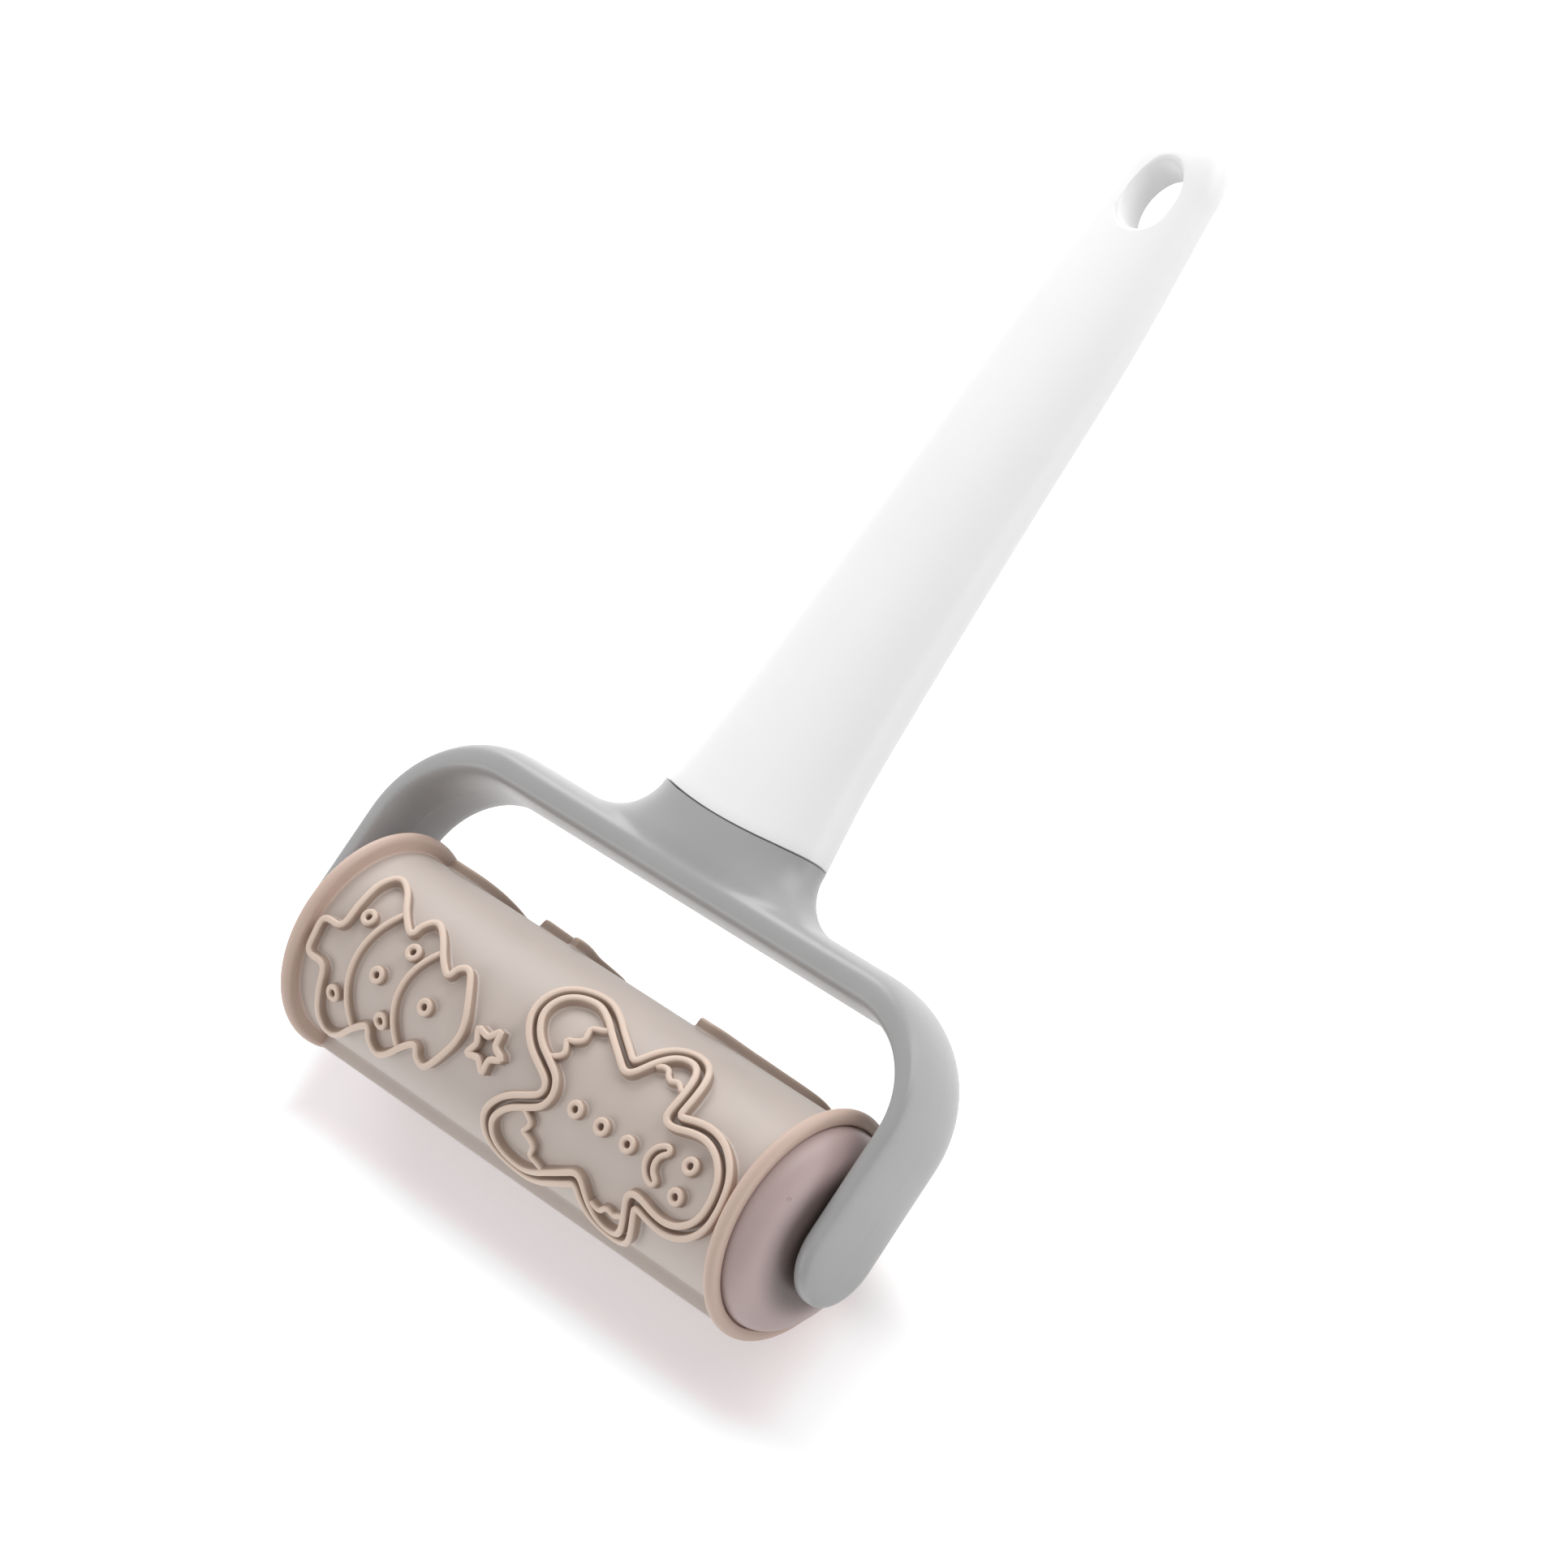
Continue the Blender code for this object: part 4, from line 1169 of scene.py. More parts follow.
@dataclass
class Roller:
    """The barrel with its ribs, and the two domed caps.

    Attributes:
        radius: The barrel's radius.
        bore: The radius of its bore.
        half_length: From its middle to the inner face of a flange.
        flange_radius: The flanges' radius.
        flange_width: The width of a flange.
        flange_fillet: The radius of the hollow between barrel and flange.
        seat_radius: The radius of the step that a cap sits in.
        seat_depth: The depth of that step.
        clearance: The gap between a cap and the barrel.
        dome_rise: How far a cap's crown stands out of the flange.
        crown_radius: The radius of a crown's flat middle.
        lip: The straight length of a cap's rim.
        cap_wall: The thickness of a cap's wall.
        spigot_length: How far a cap's spigot reaches into the bore, from the step.
        hub_radius: The radius of the hub inside a cap.
        hub_length: From the crown to the hub's inner end.
        rod_radius: The radius of the rod that the hubs run on.
        hub_bevel: The bevel where the rod enters a crown.
        edge: The bevel of the step's rim.
        gate_reach: From the axle to the gate mark on a cap.
        gate_turn: Where the gate mark lies, in degrees from +Z towards +Y.
        gate_radius: The radius of the gate mark.
        sheet_radius: The radius at which the drawing is wrapped.
        rib_step: The distance between two rings of a rib.
        floor_rise: How far a motif's raised floor stands above the barrel.
        floor_grid: The distance between two points of such a floor.
        floor_rim: The distance between two points of its rim.
        segments: How many flats stand for the round of barrel and caps.
    """

    radius: float = 17.5
    bore: float = 15.5
    half_length: float = 50.1
    flange_radius: float = 20.5
    flange_width: float = 2.3
    flange_fillet: float = 0.5
    seat_radius: float = 18.2
    seat_depth: float = 1.1
    clearance: float = 0.3
    dome_rise: float = 5.1
    crown_radius: float = 7.5
    lip: float = 0.1
    cap_wall: float = 1.8
    spigot_length: float = 6.0
    hub_radius: float = 5.5
    hub_length: float = 13.5
    rod_radius: float = 2.0
    hub_bevel: float = 0.2
    edge: float = 0.15
    gate_reach: float = 14.65
    gate_turn: float = 10.0
    gate_radius: float = 0.36
    sheet_radius: float = 19.0
    rib_step: float = 0.45
    floor_rise: float = 0.07
    floor_grid: float = 1.2
    floor_rim: float = 0.8
    segments: int = 256

    def build(self, placement: Placement) -> None:
        """Make and dress the barrel, the floors of its motifs and both caps.

        Args:
            placement: Where the tool lies.
        """
        motifs = (gingerbread_man(), fir_tree(), upper_row(), lower_row(), cut_rib())
        dress(self.barrel(motifs), placement, ROLLER_FINISH, Body.ROLLER, Slot.ROLLER, "roller_barrel")
        dress(self.motif_floors(motifs), placement, FLOOR_FINISH, Body.ROLLER, Slot.ROLLER)
        for side, name in ((1.0, "right"), (-1.0, "left")):
            dress(self.cap(side, name), placement, CAP_FINISH, Body.ROLLER, Slot.CAP, "end_cap_" + name)

    def flange_profile(self) -> list[Point2]:
        """Draw the right half of the barrel's closed profile.

        Returns:
            Its corners, as (x, radius), from the bore out over the flange to the barrel.
        """
        end = self.half_length + self.flange_width
        seat = end - self.seat_depth
        bead = 0.5 * self.flange_width
        crest = self.flange_radius - bead
        profile = [(seat, self.bore), (seat, self.seat_radius), (end - self.edge, self.seat_radius),
                   (end, self.seat_radius + self.edge)]
        profile += arc((end - bead, crest), (bead, bead), 0, 180, 16)
        fillet = self.flange_fillet
        profile += arc((self.half_length - fillet, self.radius + fillet), (fillet, fillet), 0, -90, 6)
        return profile

    def barrel(self, motifs: Sequence[Motif]) -> bpy.types.Object:
        """Make the barrel with every rib of the drawing.

        Args:
            motifs: The drawing.

        Returns:
            The barrel.
        """
        side = self.flange_profile()
        skin = Skin("roller_barrel_moulding")
        skin.add_turned(side + [(-x, r) for x, r in reversed(side)], self.segments)
        for motif in motifs:
            for line in motif.lines:
                self.add_rib(skin, line.sampled(self.rib_step), motif.turn)
        return skin.to_object(sharp_angle=50.0)

    def wrapped(self, x: float, q: float, rise: float, turn: float) -> Point3:
        """Wrap a point of the drawing round the roller.

        Args:
            x: Its place along the roller.
            q: Its place round the roller, in the drawing.
            rise: Its height above the barrel.
            turn: Where its motif's middle line lies, in radians.

        Returns:
            The point.
        """
        angle = turn + q / self.sheet_radius
        reach = self.radius + rise
        return (x, reach * sin(angle), reach * cos(angle))

    def motif_floors(self, motifs: Sequence[Motif]) -> bpy.types.Object:
        """Make the thin raised floors inside the motifs' outlines, edged by their ribs.

        Args:
            motifs: The drawing.

        Returns:
            All floors, as one sheet.
        """
        skin = Skin("roller_motif_floors")
        for motif in motifs:
            for outline in motif.floors:
                rim = outline.sampled(self.floor_rim).points
                xs, qs = zip(*rim)
                grid = [(x, q) for x in np.arange(min(xs), max(xs), self.floor_grid)
                        for q in np.arange(min(qs), max(qs), self.floor_grid)]
                loose = [Vector(point) for point in rim + grid]
                flat, _, faces, *_ = delaunay_2d_cdt(loose, [], [list(range(len(rim)))], 1, 1e-5)
                used = sorted({i for face in faces for i in face})
                place = {old: new for new, old in enumerate(used)}
                points = [self.wrapped(*flat[i], self.floor_rise, motif.turn) for i in used]
                skin.add_sheet(points, [[place[i] for i in face] for face in faces])
        return skin.to_object(closed=False)

    @staticmethod
    def rib_section(height: float, width: float) -> list[Point2]:
        """Return a rib's section: a hollow foot on each side, leaning sides and a round crest.

        Args:
            height: How high the rib stands.
            width: Its width, as a share of the usual width.

        Returns:
            The closed section, as (sideways, height) points.
        """
        half = [(1.30, -0.06), (0.98, 0.02), (0.82, 0.14), (0.73, 0.34), (0.68, 0.70), (0.64, 1.10),
                (0.60, height - 0.40), (0.53, height - 0.18), (0.37, height - 0.05), (0.14, height)]
        half = [(s * width, h) for s, h in half]
        return half + [(-s, h) for s, h in reversed(half)] + [(-1.30 * width, -0.5), (1.30 * width, -0.5)]

    def add_rib(self, skin: Skin, line: Line, turn: float) -> None:
        """Raise one rib on the barrel.

        Args:
            skin: The barrel's skin.
            line: The rib's line.
            turn: Where its motif's middle line lies, in radians.
        """
        section = self.rib_section(line.height, line.width)
        stations = [(x, q, nx, nq, 1.0) for (x, q), (nx, nq) in zip(line.points, line.sideways())]
        if not line.closed:
            start, end = self.rounded_end(stations[0], -1.0), self.rounded_end(stations[-1], 1.0)
            stations = start + stations + end[::-1]
        rings = []
        for x, q, nx, nq, share in stations:
            rings.append([self.wrapped(x + nx * side * share, q + nq * side * share, rise, turn)
                          for side, rise in section])
        skin.add_loft(rings, joined=line.closed)

    @staticmethod
    def rounded_end(station: Station, direction: float) -> list[Station]:
        """Round off an open rib's end.

        Args:
            station: The rib's last station.
            direction: 1 past its end, -1 before its start.

        Returns:
            Narrowing stations past the end, from the outermost inwards.
        """
        x, q, nx, nq, _ = station
        ahead = (nq * direction, -nx * direction)
        reach = 0.6
        return [(x + ahead[0] * reach * sin(t), q + ahead[1] * reach * sin(t), nx, nq, max(cos(t), 0.06))
                for t in (radians(a) for a in (88.0, 68.0, 48.0, 26.0))]

    def cap(self, side: float, name: str) -> bpy.types.Object:
        """Make one end cap.

        Args:
            side: 1 for the right end, -1 for the left.
            name: The side's name.

        Returns:
            The cap.
        """
        end = self.half_length + self.flange_width
        crown = end + self.dome_rise
        rim = self.seat_radius - self.clearance
        shoulder = end - self.seat_depth + self.clearance
        tail = shoulder - self.spigot_length
        spigot = self.bore - self.clearance
        bore = self.rod_radius + self.clearance
        profile = [(tail, spigot), (shoulder, spigot), (shoulder, rim), (end - self.lip, rim)]
        profile += arc((end, self.crown_radius), (self.dome_rise, rim - self.crown_radius), 88, 0, 40)
        profile += [(crown, 0.5 * self.crown_radius), (crown, bore + self.hub_bevel),
                    (crown - self.hub_bevel, bore)]
        profile += [(crown - self.hub_length, bore), (crown - self.hub_length, self.hub_radius)]
        profile += [(crown - self.cap_wall, self.hub_radius)]
        inner = (self.dome_rise, spigot - 2.0 * self.cap_wall - self.hub_radius)
        profile += arc((end - self.cap_wall, self.hub_radius + self.cap_wall), inner, 0, 90, 12)
        profile += [(tail, spigot - self.cap_wall)]
        skin = Skin(f"end_cap_{name}_moulding")
        skin.add_turned([(side * x, r) for x, r in profile], self.segments)
        self.add_gate_mark(skin, side)
        return skin.to_object()

    def add_gate_mark(self, skin: Skin, side: float) -> None:
        """Add the small stub where the plastic entered the mould, near the rim of the dome.

        Args:
            skin: The cap's skin.
            side: 1 for the right end, -1 for the left.
        """
        reach, turn = self.gate_reach, radians(self.gate_turn)
        drop = self.seat_radius - self.clearance - self.crown_radius
        share = (reach - self.crown_radius) / drop
        rise = self.dome_rise * sqrt(1.0 - share ** 2)
        out = Vector((rise / self.dome_rise ** 2, share / drop * sin(turn), share / drop * cos(turn)))
        out.normalize()
        end = self.half_length + self.flange_width
        middle = Vector((end + rise, reach * sin(turn), reach * cos(turn)))
        across = Vector((0.0, cos(turn), -sin(turn)))
        along = out.cross(across)
        rings = []
        for level, width in ((-0.3, 1.0), (0.06, 1.0), (0.10, 0.8), (0.0, 0.55), (-0.02, 0.2)):
            size = self.gate_radius * width
            ring = [middle + out * level + size * (across * c + along * s)
                    for c, s in arc((0.0, 0.0), (1.0, 1.0), 0, 360, 20)[:-1]]
            rings.append([(side * point.x, point.y, point.z) for point in ring])
        skin.add_loft(rings)


@dataclass
class Yoke:
    """The fork that holds the roller, with its collar and tang.

    Attributes:
        arm_x: The distance of an arm's middle from the tool's middle.
        arm_half: Half the thickness of an arm.
        bar_y: The place of the cross bar's middle.
        bar_half: Half the thickness of the cross bar.
        half_width: Half the width of the band, along Z.
        outer_crown: How round the band's outer side is, from 0, square, to 1.
        inner_crown: The same for its inner side.
        corner: The radius of the corners, at the band's middle.
        collar_width: Half the width of the collar at the seam.
        flare: How far the collar's foot spreads along the bar.
        seam_y: Where the seam lies at the grip's sides.
        seam_bow: How far the seam dips towards the roller in the middle.
        boss_x: Where an arm's boss starts, from the tool's middle.
        boss_radius: The radius of a boss.
        socket_radius: The radius of the blind socket for the rod.
        socket_floor: Where a socket ends, from the tool's middle.
        overcut: How far before a boss its socket's cutter starts.
        foot_rings: The collar's foot inside the bar: how far past the bar's middle each ring lies,
            how much wider than the foot it is, and its share of the depth.
        voxel: How finely band and collar are melted together.
        even_rounds: How many times the whole fork is evened out after that.
        ease_rounds: How many times the hollow between bar and collar is eased.
        ease_reach: How far that hollow reaches from the tool's middle.
        ease_end: The length over which the easing sets in there.
        ease_bar: Where it sets in above the bar's middle, and over which length.
        ease_seam: Where it sets in below the seam, and over which length.
        band_points: How many points a ring of the band has.
        collar_points: How many points a ring of the collar has.
        segments: How many flats stand for the round of bosses and sockets.
    """

    arm_x: float = 60.5
    arm_half: float = 2.45
    bar_y: float = 37.3
    bar_half: float = 3.8
    half_width: float = 9.3
    outer_crown: float = 0.82
    inner_crown: float = 0.38
    corner: float = 18.5
    collar_width: float = 17.5
    flare: float = 9.9
    seam_y: float = 50.0
    seam_bow: float = 2.0
    boss_x: float = 57.8
    boss_radius: float = 5.0
    socket_radius: float = 2.3
    socket_floor: float = 61.3
    overcut: float = 2.0
    foot_rings: tuple[Point3, ...] = ((-0.5, 2.4, 0.86), (2.2, 1.4, 0.97))
    voxel: float = 0.45
    even_rounds: int = 12
    ease_rounds: int = 26
    ease_reach: float = 40.0
    ease_end: float = 8.0
    ease_bar: Point2 = (0.6, 1.6)
    ease_seam: Point2 = (2.5, 3.0)
    band_points: int = 56
    collar_points: int = 72
    segments: int = 96

    def build(self, placement: Placement, grip: "Grip") -> None:
        """Make and dress the fork.

        Args:
            placement: Where the tool lies.
            grip: The grip, whose hollow the tang fits.
        """
        fork = self.fused_fork()
        face, inside, floor = self.boss_x, self.boss_x - self.overcut, self.socket_floor
        for side, name in ((1.0, "right"), (-1.0, "left")):
            boss = self.disc("boss_" + name, self.boss_radius, side * face, side * self.arm_x)
            combine(fork, boss, "UNION")
            socket = self.disc("socket_" + name, self.socket_radius, side * inside, side * floor)
            combine(fork, socket, "DIFFERENCE")
        tang = Skin("tang")
        tang.add_loft(grip.tang_rings())
        combine(fork, tang.to_object(), "UNION")
        smooth(fork.data, sharp_angle=48.0)
        dress(fork, placement, YOKE_FINISH, Body.BASE, Slot.YOKE, "yoke_frame")

    def disc(self, name: str, radius: float, start: float, end: float) -> bpy.types.Object:
        """Make a round solid along the axle.

        Args:
            name: Its name.
            radius: Its radius.
            start: Where it starts.
            end: Where it ends.

        Returns:
            The solid.
        """
        skin = Skin(name)
        skin.add_bar(((start, radius), (end, radius)), self.segments, CUTTER_TURN)
        return skin.to_object()

    def band_ring(self, x: float, y: float, turn: float, half: float, width: float) -> Ring:
        """Return one ring of the band.

        Args:
            x: The ring's middle, across the tool.
            y: The ring's middle, along the tool.
            turn: The direction of its outer face, in radians from +X.
            half: Half its thickness.
            width: Half its width along Z.

        Returns:
            The ring, crowned outside and flatter inside.
        """
        ring = []
        for i in range(self.band_points):
            t = 2.0 * pi * i / self.band_points
            out = half * signed_power(cos(t), self.outer_crown if cos(t) > 0.0 else self.inner_crown)
            ring.append((x + out * cos(turn), y + out * sin(turn), width * signed_power(sin(t), 0.96)))
        return ring

    def band_rings(self) -> list[Ring]:
        """Lay out the bent band.

        Returns:
            Its rings, from the right arm's round end to the left's.
        """
        side, arm, bar, width = self.arm_x, self.arm_half, self.bar_half, self.half_width
        stations = []
        for a in (88, 80, 71, 62, 53, 44, 35, 26, 17, 8, 0):
            t = radians(a)
            stations.append((side, -width * sin(t), 0.0, arm * cos(t) ** 0.4, width * cos(t)))
        top, reach = self.bar_y - self.corner, side - self.corner
        stations += [(side, top * share, 0.0, arm, width) for share in (0.25, 0.5, 0.75)]
        for i in range(25):
            share = i / 24
            t = 0.5 * pi * share
            half = arm + (bar - arm) * smoothstep(0.0, 1.0, share)
            x, y = side - self.corner * (1.0 - cos(t)), top + self.corner * sin(t)
            stations.append((x, y, t, half, width))
        stations += [(reach * share, self.bar_y, 0.5 * pi, bar, width) for share in (0.8, 0.6, 0.4, 0.2)]
        right = [self.band_ring(*station) for station in stations]
        middle = self.band_ring(0.0, self.bar_y, 0.5 * pi, bar, width)
        return right + [middle] + [[(-x, y, z) for x, y, z in ring] for ring in reversed(right)]

    def collar_rings(self) -> list[Ring]:
        """Lay out the collar, straight past the seam.

        Returns:
            Its rings, from foot to mouth.
        """
        foot = self.collar_width + self.flare
        rise = self.seam_y - self.bar_y - self.bar_half
        stations = [(self.bar_y + past, foot + wider, depth) for past, wider, depth in self.foot_rings]
        for a in range(84, -1, -6):
            t = radians(a)
            width = self.collar_width + self.flare * (1.0 - cos(t))
            stations.append((self.seam_y - rise * sin(t), width, 1.0))
        stations.append((self.seam_y + 3.0, self.collar_width, 1.0))
        return [[(x, y, z) for x, z in oval(width, self.half_width * depth, self.collar_points)]
                for y, width, depth in stations]

    def fused_fork(self) -> bpy.types.Object:
        """Melt band and collar together, with an eased hollow between them.

        Returns:
            The fork, without its bosses, sockets and tang.
        """
        skin = Skin("yoke_frame_moulding")
        skin.add_loft(self.band_rings())
        skin.add_loft(self.collar_rings())
        fork = skin.to_object()
        remesh = fork.modifiers.new("fuse", "REMESH")
        remesh.mode = "VOXEL"
        remesh.voxel_size = self.voxel * MM
        freeze(fork)
        relax(fork.data, self.even_rounds, np.ones(len(fork.data.vertices)), keep_size=True)
        points = mesh_points(fork.data)
        across, along = np.abs(points[:, 0]), points[:, 1]
        beside = np.clip((self.ease_reach - across) / self.ease_end, 0.0, 1.0)
        above = np.clip((along - self.bar_y - self.ease_bar[0]) / self.ease_bar[1], 0.0, 1.0)
        below = np.clip((self.seam_y - self.ease_seam[0] - along) / self.ease_seam[1], 0.0, 1.0)
        relax(fork.data, self.ease_rounds, beside * above * below, keep_size=False)
        self.cut_seam(fork)
        return fork

    def cut_seam(self, fork: bpy.types.Object) -> None:
        """Cut the collar off at the seam and bow the cut towards the roller.

        Args:
            fork: The fork.
        """
        bm = bmesh.new()
        bm.from_mesh(fork.data)
        cut = bmesh.ops.bisect_plane(bm, geom=bm.verts[:] + bm.edges[:] + bm.faces[:],
                                     plane_co=(0.0, self.seam_y * MM, 0.0), plane_no=(0.0, 1.0, 0.0),
                                     clear_outer=True)
        rim = [item for item in cut["geom_cut"] if isinstance(item, bmesh.types.BMEdge)]
        bmesh.ops.holes_fill(bm, edges=rim, sides=0)
        bm.to_mesh(fork.data)
        bm.free()
        points = mesh_points(fork.data)
        share = np.clip((points[:, 1] - self.bar_y) / (self.seam_y - self.bar_y), 0.0, 1.0)
        bow = self.seam_bow * (1.0 - np.clip(np.abs(points[:, 0]) / self.collar_width, 0.0, 1.0) ** 2)
        points[:, 1] -= bow * share ** 2
        set_mesh_points(fork.data, points)


@dataclass
class Grip:
    """The white grip, hollow from its mouth, with the hang slot at its tip.

    Attributes:
        seam_y: Where its mouth lies at its sides.
        length: From the mouth to the tip.
        seam_bow: How far the mouth dips towards the roller in the middle.
        bow_fade: How far from the mouth that dip has faded away.
        mouth_width: Half the mouth's width.
        stations: Half width and half depth at shares of its length.
        tip_round: The length of its rounded end.
        tip_half: Half width and half depth of the flat on its tip.
        wall: The thickness of its wall.
        edge: How far the mouth's edge is rounded.
        cavity: The length of its hollow.
        clearance: The gap between the hollow and the tang, and between mouth and collar.
        tang_end_gap: How much shorter the tang is than the hollow.
        tang_root: How far the tang starts inside the collar.
        slot_from_tip: From the middle of the slot to the tip.
        slot_half: Half the slot's width and length.
        rim: The radius of the slot's rounded rim.
        rim_drop: How far the rim's outer edge lies below the highest line of the skin.
        opening: How much wider the slot's cutter gets above the rim.
        segments: How many flats stand for its round.
    """

    seam_y: float = 50.0
    length: float = 138.2
    seam_bow: float = 2.0
    bow_fade: float = 30.0
    mouth_width: float = 17.5
    stations: tuple[Point3, ...] = ((0.0, 17.5, 9.3), (0.13, 15.2, 9.0), (0.47, 12.9, 7.7),
                                    (0.72, 11.9, 6.2), (0.926, 9.6, 4.5))
    tip_round: float = 10.2
    tip_half: Point2 = (4.5, 1.8)
    wall: float = 2.4
    edge: float = 0.25
    cavity: float = 100.0
    clearance: float = 0.3
    tang_end_gap: float = 3.0
    tang_root: float = 4.0
    slot_from_tip: float = 12.4
    slot_half: Point2 = (4.75, 6.7)
    rim: float = 1.0
    rim_drop: float = 0.25
    opening: float = 1.4
    segments: int = 96

    def build(self, placement: Placement) -> None:
        """Make and dress the grip.

        Args:
            placement: Where the tool lies.
        """
        skin = Skin("handle_shell_moulding")
        skin.add_loft(self.rings())
        grip = skin.to_object()
        combine(grip, self.slot_cutter(), "DIFFERENCE")
        smooth(grip.data, sharp_angle=40.0)
        dress(grip, placement, GRIP_FINISH, Body.BASE, Slot.GRIP, "handle_shell")

    def straight_half_sizes(self, y: float) -> Point2:
        """Follow the tapered length's smooth curve through the stations.

        Args:
            y: A place along the grip.

        Returns:
            Half width and half depth there.
        """
        rows = self.stations
        along = min(max((y - self.seam_y) / self.length, 0.0), rows[-1][0])
        i = max(k for k in range(len(rows) - 1) if rows[k][0] <= along)
        start, end = rows[i], rows[i + 1]
        before, after = rows[max(i - 1, 0)], rows[min(i + 2, len(rows) - 1)]
        run = end[0] - start[0]
        t = (along - start[0]) / run
        sizes = []
        for k in (1, 2):
            leave = run * (end[k] - before[k]) / (end[0] - before[0])
            arrive = run * (after[k] - start[k]) / (after[0] - start[0])
            rise = end[k] - start[k]
            sizes.append(start[k] + leave * t + (3.0 * rise - 2.0 * leave - arrive) * t ** 2
                         + (leave + arrive - 2.0 * rise) * t ** 3)
        return sizes[0], sizes[1]

    def half_sizes(self, y: float) -> Point2:
        """Find the grip's section, its rounded end included.

        Args:
            y: A place along the grip.

        Returns:
            Half width and half depth there.
        """
        start = self.seam_y + self.length - self.tip_round
        width, depth = self.straight_half_sizes(min(y, start))
        if y <= start:
            return width, depth
        share = min((y - start) / self.tip_round, 1.0)
        return (self.tip_half[0] + (width - self.tip_half[0]) * sqrt(1.0 - share ** 2),
                self.tip_half[1] + (depth - self.tip_half[1]) * sqrt(1.0 - share ** 4))

    def ring(self, y: float, inset: float, bow: float) -> Ring:
        """Draw an oval ring.

        Args:
            y: Its place along the grip, at the sides.
            inset: How far it lies inside the grip's skin.
            bow: How far it dips towards the roller in the middle.

        Returns:
            The ring.
        """
        width, depth = self.half_sizes(y)
        return [(x, y - bow * (1.0 - min((x / self.mouth_width) ** 2, 1.0)), z)
                for x, z in oval(width - inset, depth - inset, self.segments)]

    def bow_at(self, y: float) -> float:
        """Return how far a ring still dips, which fades away from the mouth."""
        return self.seam_bow * (1.0 - smoothstep(0.0, self.bow_fade, y - self.seam_y))

    def rings(self) -> list[Ring]:
        """Lay out the whole grip.

        Returns:
            Its rings, from the bottom of the hollow, out over the mouth, to the tip.
        """
        mouth = self.seam_y + self.clearance
        start = self.seam_y + self.length - self.tip_round
        rings = []
        for share in (1.0, 0.72, 0.45, 0.2, 0.1, 0.0):
            y = mouth + share * self.cavity
            rings.append(self.ring(y, self.wall, self.bow_at(y)))
        bevel = 0.28 * self.edge
        rings.append(self.ring(mouth, self.edge, self.seam_bow))
        rings.append(shifted(self.ring(mouth, bevel, self.seam_bow), bevel))
        for i in range(85):
            y = mouth + self.edge + (start - mouth - self.edge) * i / 84
            rings.append(self.ring(y, 0.0, self.bow_at(y)))
        for a in range(6, 91, 6):
            rings.append(self.ring(start + self.tip_round * sin(radians(a)), 0.0, 0.0))
        return rings

    def tang_rings(self) -> list[Ring]:
        """Lay out the tang inside the hollow.

        Returns:
            Its rings, from inside the collar to its end.
        """
        inset = self.wall + self.clearance
        places = [share * self.cavity for share in (0.0, 0.1, 0.2, 0.45, 0.72)]
        rings = [shifted(self.ring(self.seam_y, inset, self.seam_bow), -self.tang_root)]
        for along in (*places, self.cavity - self.tang_end_gap):
            y = self.seam_y + along
            rings.append(self.ring(y, inset, self.bow_at(y)))
        return rings

    def slot_cutter(self) -> bpy.types.Object:
        """Make the cutter of the hang slot, with mouths that open in a quarter round.

        Returns:
            The cutter.
        """
        middle = self.seam_y + self.length - self.slot_from_tip
        depth = self.half_sizes(middle)[1]
        throat = depth - self.rim - self.rim_drop
        levels = [(-throat, 0.0), (throat, 0.0)]
        for a in range(10, 91, 10):
            t = radians(a)
            level = (throat + self.rim * sin(t), self.rim * (1.0 - cos(t)))
            levels = [(-level[0], level[1]), *levels, level]
        wide = self.rim + self.opening
        levels = [(-2.0 * depth, wide), *levels, (2.0 * depth, wide)]
        skin = Skin("hang_slot")
        rings = []
        for z, extra in levels:
            half = (self.slot_half[0] + extra, self.slot_half[1] + extra)
            outline = arc((0.0, middle), half, CUTTER_TURN, CUTTER_TURN + 360.0, self.segments)[:-1]
            rings.append([(x, y, z) for x, y in outline])
        skin.add_loft(rings)
        return skin.to_object()


@dataclass
class Rod:
    """The steel rod that the roller turns on.

    Attributes:
        radius: Its radius.
        half_length: Half its length.
        chamfer: The bevel at each end.
        segments: How many flats stand for its round.
    """

    radius: float = 2.0
    half_length: float = 61.0
    chamfer: float = 0.4
    segments: int = 64

    def build(self, placement: Placement) -> None:
        """Make and dress the rod.

        Args:
            placement: Where the tool lies.
        """
        skin = Skin("axle_rod_turned")
        end, thin = self.half_length, self.radius - self.chamfer
        full = end - self.chamfer
        stations = ((-end, thin), (-full, self.radius), (full, self.radius), (end, thin))
        skin.add_bar(stations, self.segments)
        dress(skin.to_object(), placement, ROD_FINISH, Body.BASE, Slot.ROD, "axle_rod")


# Studio

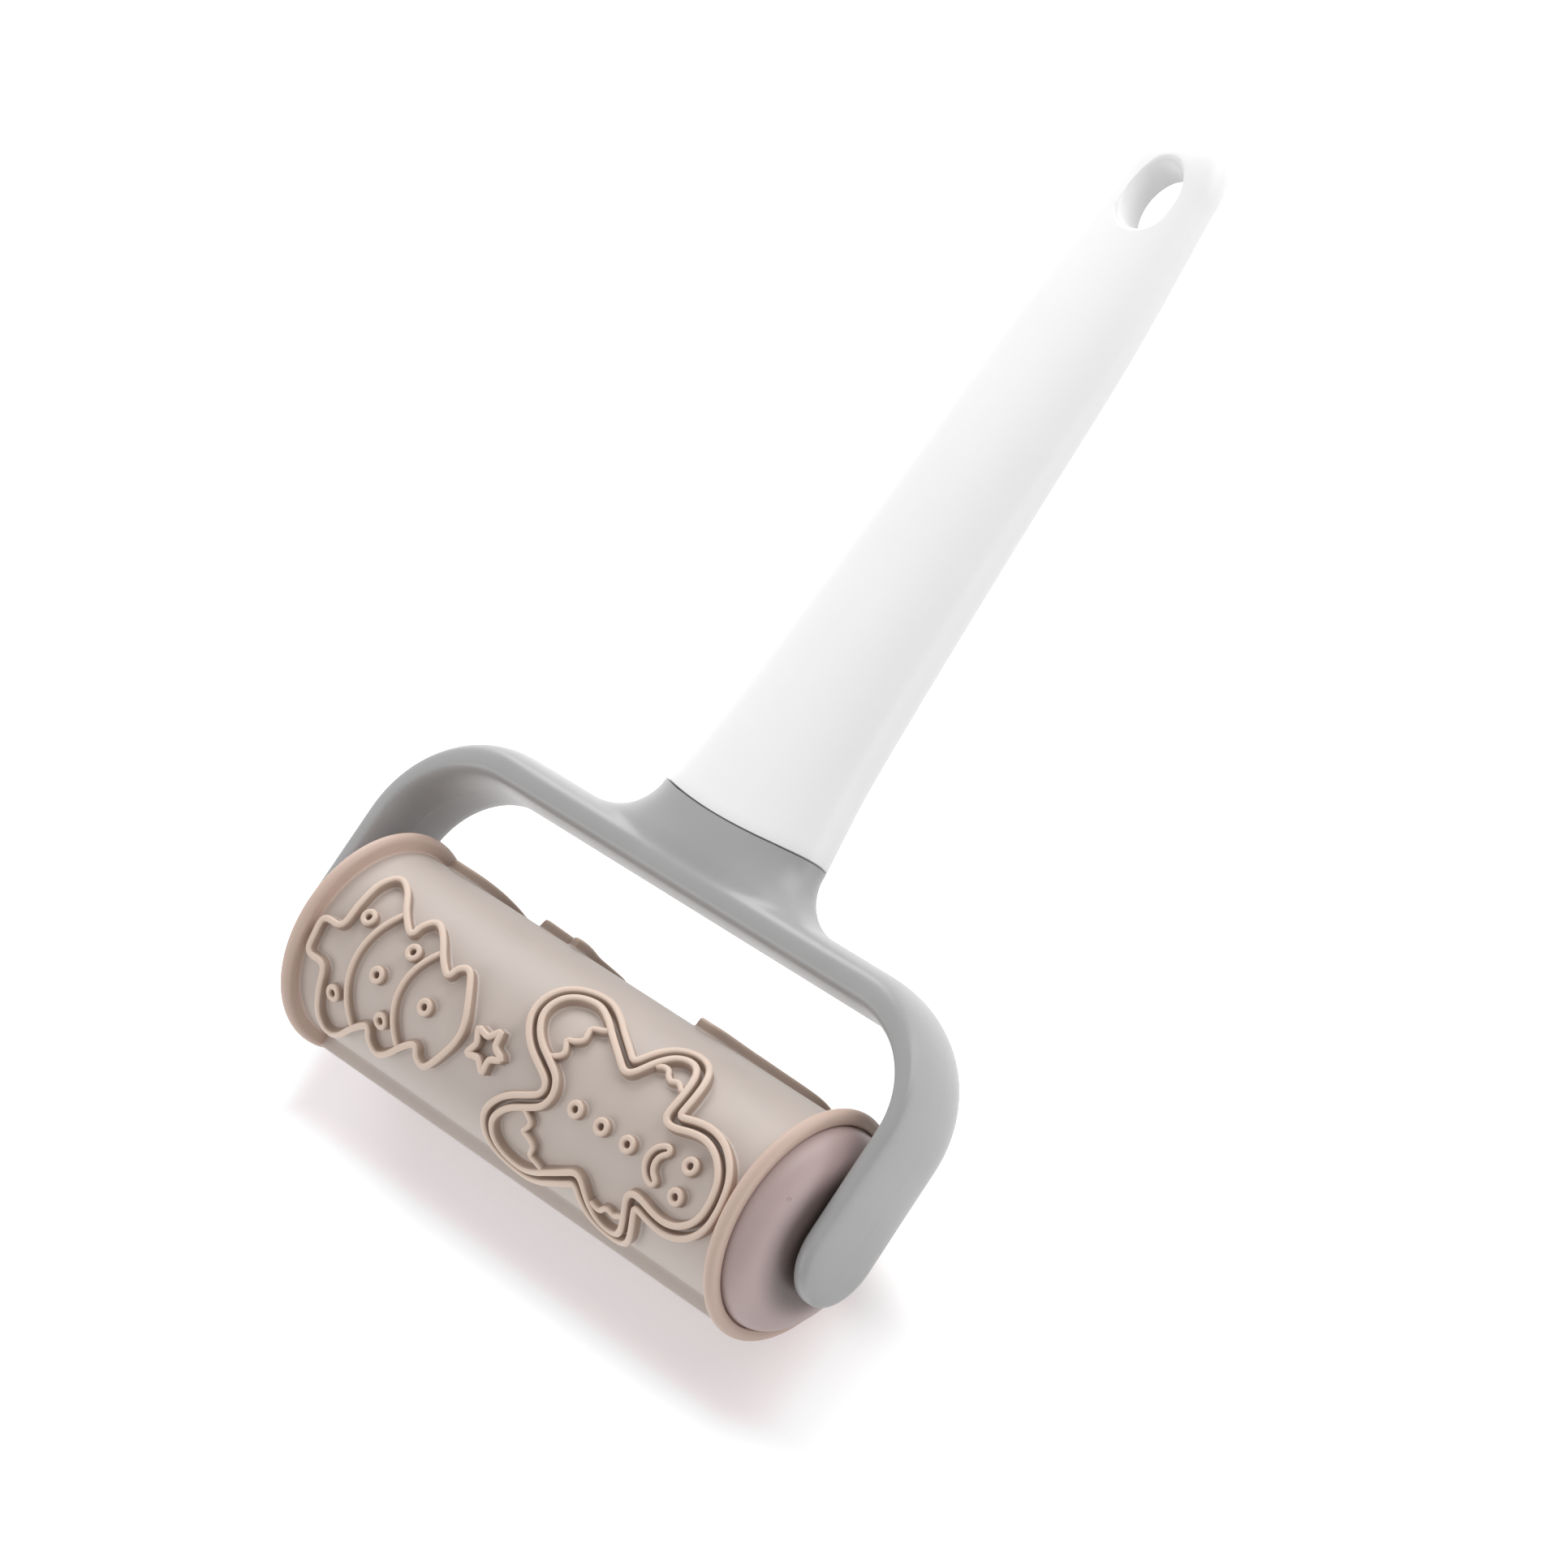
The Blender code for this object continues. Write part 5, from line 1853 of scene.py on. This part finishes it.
@dataclass
class Studio:
    """The pale floor, the lamps and the camera.

    Attributes:
        eye: The camera's place, in the tool's own frame.
        back: The direction from the subject to the camera, there.
        up: The camera's upward direction, there.
        lens: The focal length on a 36 mm wide sensor.
        lamps: Each soft box's name, its place in metres and its power in watts.
        lamp_size: The side of each square soft box, in metres.
        world_level: The strength of the even light from all sides, where 1 shows as white.
        floor_colour: The floor's own colour.
        shadow_lift: How far the shadow on the floor is lightened, in front of the roller.
        arm_lift: How much more it is lightened beside the right arm.
        behind: The places along Y, from the axle, between which the shadow fades out behind.
        ahead: The same in front.
        left: The places along X between which it fades out at the left.
        beside_arm: The places along X between which it lightens beside the right arm.
        right: The places along X between which it fades out at the right.
        shadow_tint: The colour of the lightening, which warms the shadow.
        warm_levels: The levels of lightening between which that colour turns into white.
    """

    eye: Point3 = (385.50, 1.19, 544.90)
    back: Point3 = (0.57362, -0.08657, 0.81453)
    up: Point3 = (-0.41267, 0.82844, 0.37867)
    lens: float = 92.81
    lamps: tuple[tuple[str, Point3, float], ...] = (
        ("back_left", (-0.55, 0.75, 0.30), 4.3), ("back_right", (0.55, 0.75, 0.30), 3.3),
        ("front_left", (-0.45, -0.65, 0.65), 2.4))
    lamp_size: float = 0.6
    world_level: float = 0.52
    floor_colour: Colour = (0.86, 0.86, 0.87, 1.0)
    shadow_lift: float = 0.165
    arm_lift: float = 0.20
    behind: Point2 = (-8.0, 12.0)
    ahead: Point2 = (-52.0, -30.0)
    left: Point2 = (-84.0, -60.0)
    beside_arm: Point2 = (42.0, 64.0)
    right: Point2 = (58.0, 104.0)
    shadow_tint: Colour = (1.0, 0.74, 0.74, 1.0)
    warm_levels: Point2 = (0.19, 0.32)

    def build(self, placement: Placement) -> None:
        """Set up the whole studio.

        Args:
            placement: Where the tool lies.
        """
        self.floor(placement.axle.y)
        self.world()
        for name, place, power in self.lamps:
            self.lamp(name, place, power)
        self.camera(placement)
        bpy.context.scene.view_settings.view_transform = "Standard"

    def camera(self, placement: Placement) -> None:
        """Place the camera at the photograph's angle.

        Args:
            placement: Where the tool lies.
        """
        back = Vector(self.back).normalized()
        right = Vector(self.up).cross(back).normalized()
        turn = Matrix((right, back.cross(right), back)).transposed().to_4x4()
        data = bpy.data.cameras.new("camera")
        data.lens = self.lens
        data.sensor_width = 36.0
        data.clip_start = 0.05
        camera = put_in_scene("camera", data)
        camera.matrix_world = placement.matrix() @ Matrix.Translation(Vector(self.eye) * MM) @ turn
        bpy.context.scene.camera = camera

    def lamp(self, name: str, place: Point3, power: float) -> None:
        """Add a soft box that points at the middle of the tool.

        Args:
            name: The lamp's name.
            place: Where it stands, in metres.
            power: Its power, in watts.
        """
        data = bpy.data.lights.new(name, "AREA")
        data.size = self.lamp_size
        data.energy = power
        lamp = put_in_scene(name, data)
        lamp.location = place
        lamp.rotation_euler = lamp.location.to_track_quat("Z", "Y").to_euler()

    def world(self) -> None:
        """Light the scene evenly from all sides, before a white ground."""
        world = bpy.data.worlds.new("studio")
        bpy.context.scene.world = world
        world.use_nodes = True
        nodes = Nodes(world.node_tree)
        shader = world.node_tree.nodes["Background"]
        strength = nodes.ramp(nodes.shown(), 0.0, 1.0, self.world_level, 1.0)
        nodes.feed_all(shader.inputs, {"Color": WHITE, "Strength": strength})

    def floor(self, axle_y: float) -> None:
        """Lay the pale floor.

        Args:
            axle_y: The place of the roller's axle, in metres.
        """
        bm = bmesh.new()
        bmesh.ops.create_grid(bm, x_segments=1, y_segments=1, size=3.0)
        mesh = bpy.data.meshes.new("floor")
        bm.to_mesh(mesh)
        bm.free()
        mesh.materials.append(self.floor_material(axle_y))
        floor = put_in_scene("floor", mesh)

    def floor_material(self, axle_y: float) -> bpy.types.Material:
        """Make the floor's material, white but for the shadow in front of the roller.

        Args:
            axle_y: The place of the roller's axle, in metres.

        Returns:
            The material.
        """
        material, nodes, shader = new_material("pale_floor")
        place = nodes.add("ShaderNodeNewGeometry").outputs["Position"]
        spot = nodes.add("ShaderNodeSeparateXYZ", {"Vector": place}).outputs
        lift, axle = self.shadow_lift, axle_y / MM
        behind = nodes.fade(spot["Y"], (axle + self.behind[0], axle + self.behind[1]), lift, 1.0)
        ahead = nodes.fade(spot["Y"], (axle + self.ahead[0], axle + self.ahead[1]), 1.0, lift)
        left = nodes.fade(spot["X"], self.left, 1.0, lift)
        right = nodes.math("ADD", nodes.fade(spot["X"], self.beside_arm, 0.0, self.arm_lift),
                           nodes.fade(spot["X"], self.right))
        most = nodes.math("MAXIMUM", nodes.math("MAXIMUM", behind, ahead), left)
        level = nodes.math("ADD", most, right)
        warm = nodes.ramp(level, *self.warm_levels, 1.0, 0.0)
        nodes.feed_all(shader.inputs, {
            "Base Color": self.floor_colour, "Roughness": 0.7, "Specular IOR Level": 0.2,
            "Emission Color": nodes.mix(warm, WHITE, self.shadow_tint),
            "Emission Strength": nodes.math("MULTIPLY", nodes.shown(), level)})
        return material


def main() -> None:
    """Build the tool's looks in order, then the studio."""
    logging.basicConfig(level=logging.INFO, format="%(name)s: %(message)s")
    placement = Placement.from_frame(frame)
    moulded_skin_group()
    parting_line_group()
    round_axle_group()
    grip = Grip()
    Roller().build(placement)
    Rod().build(placement)
    Yoke().build(placement, grip)
    grip.build(placement)
    Studio().build(placement)


if __name__ == "__main__":
    main()
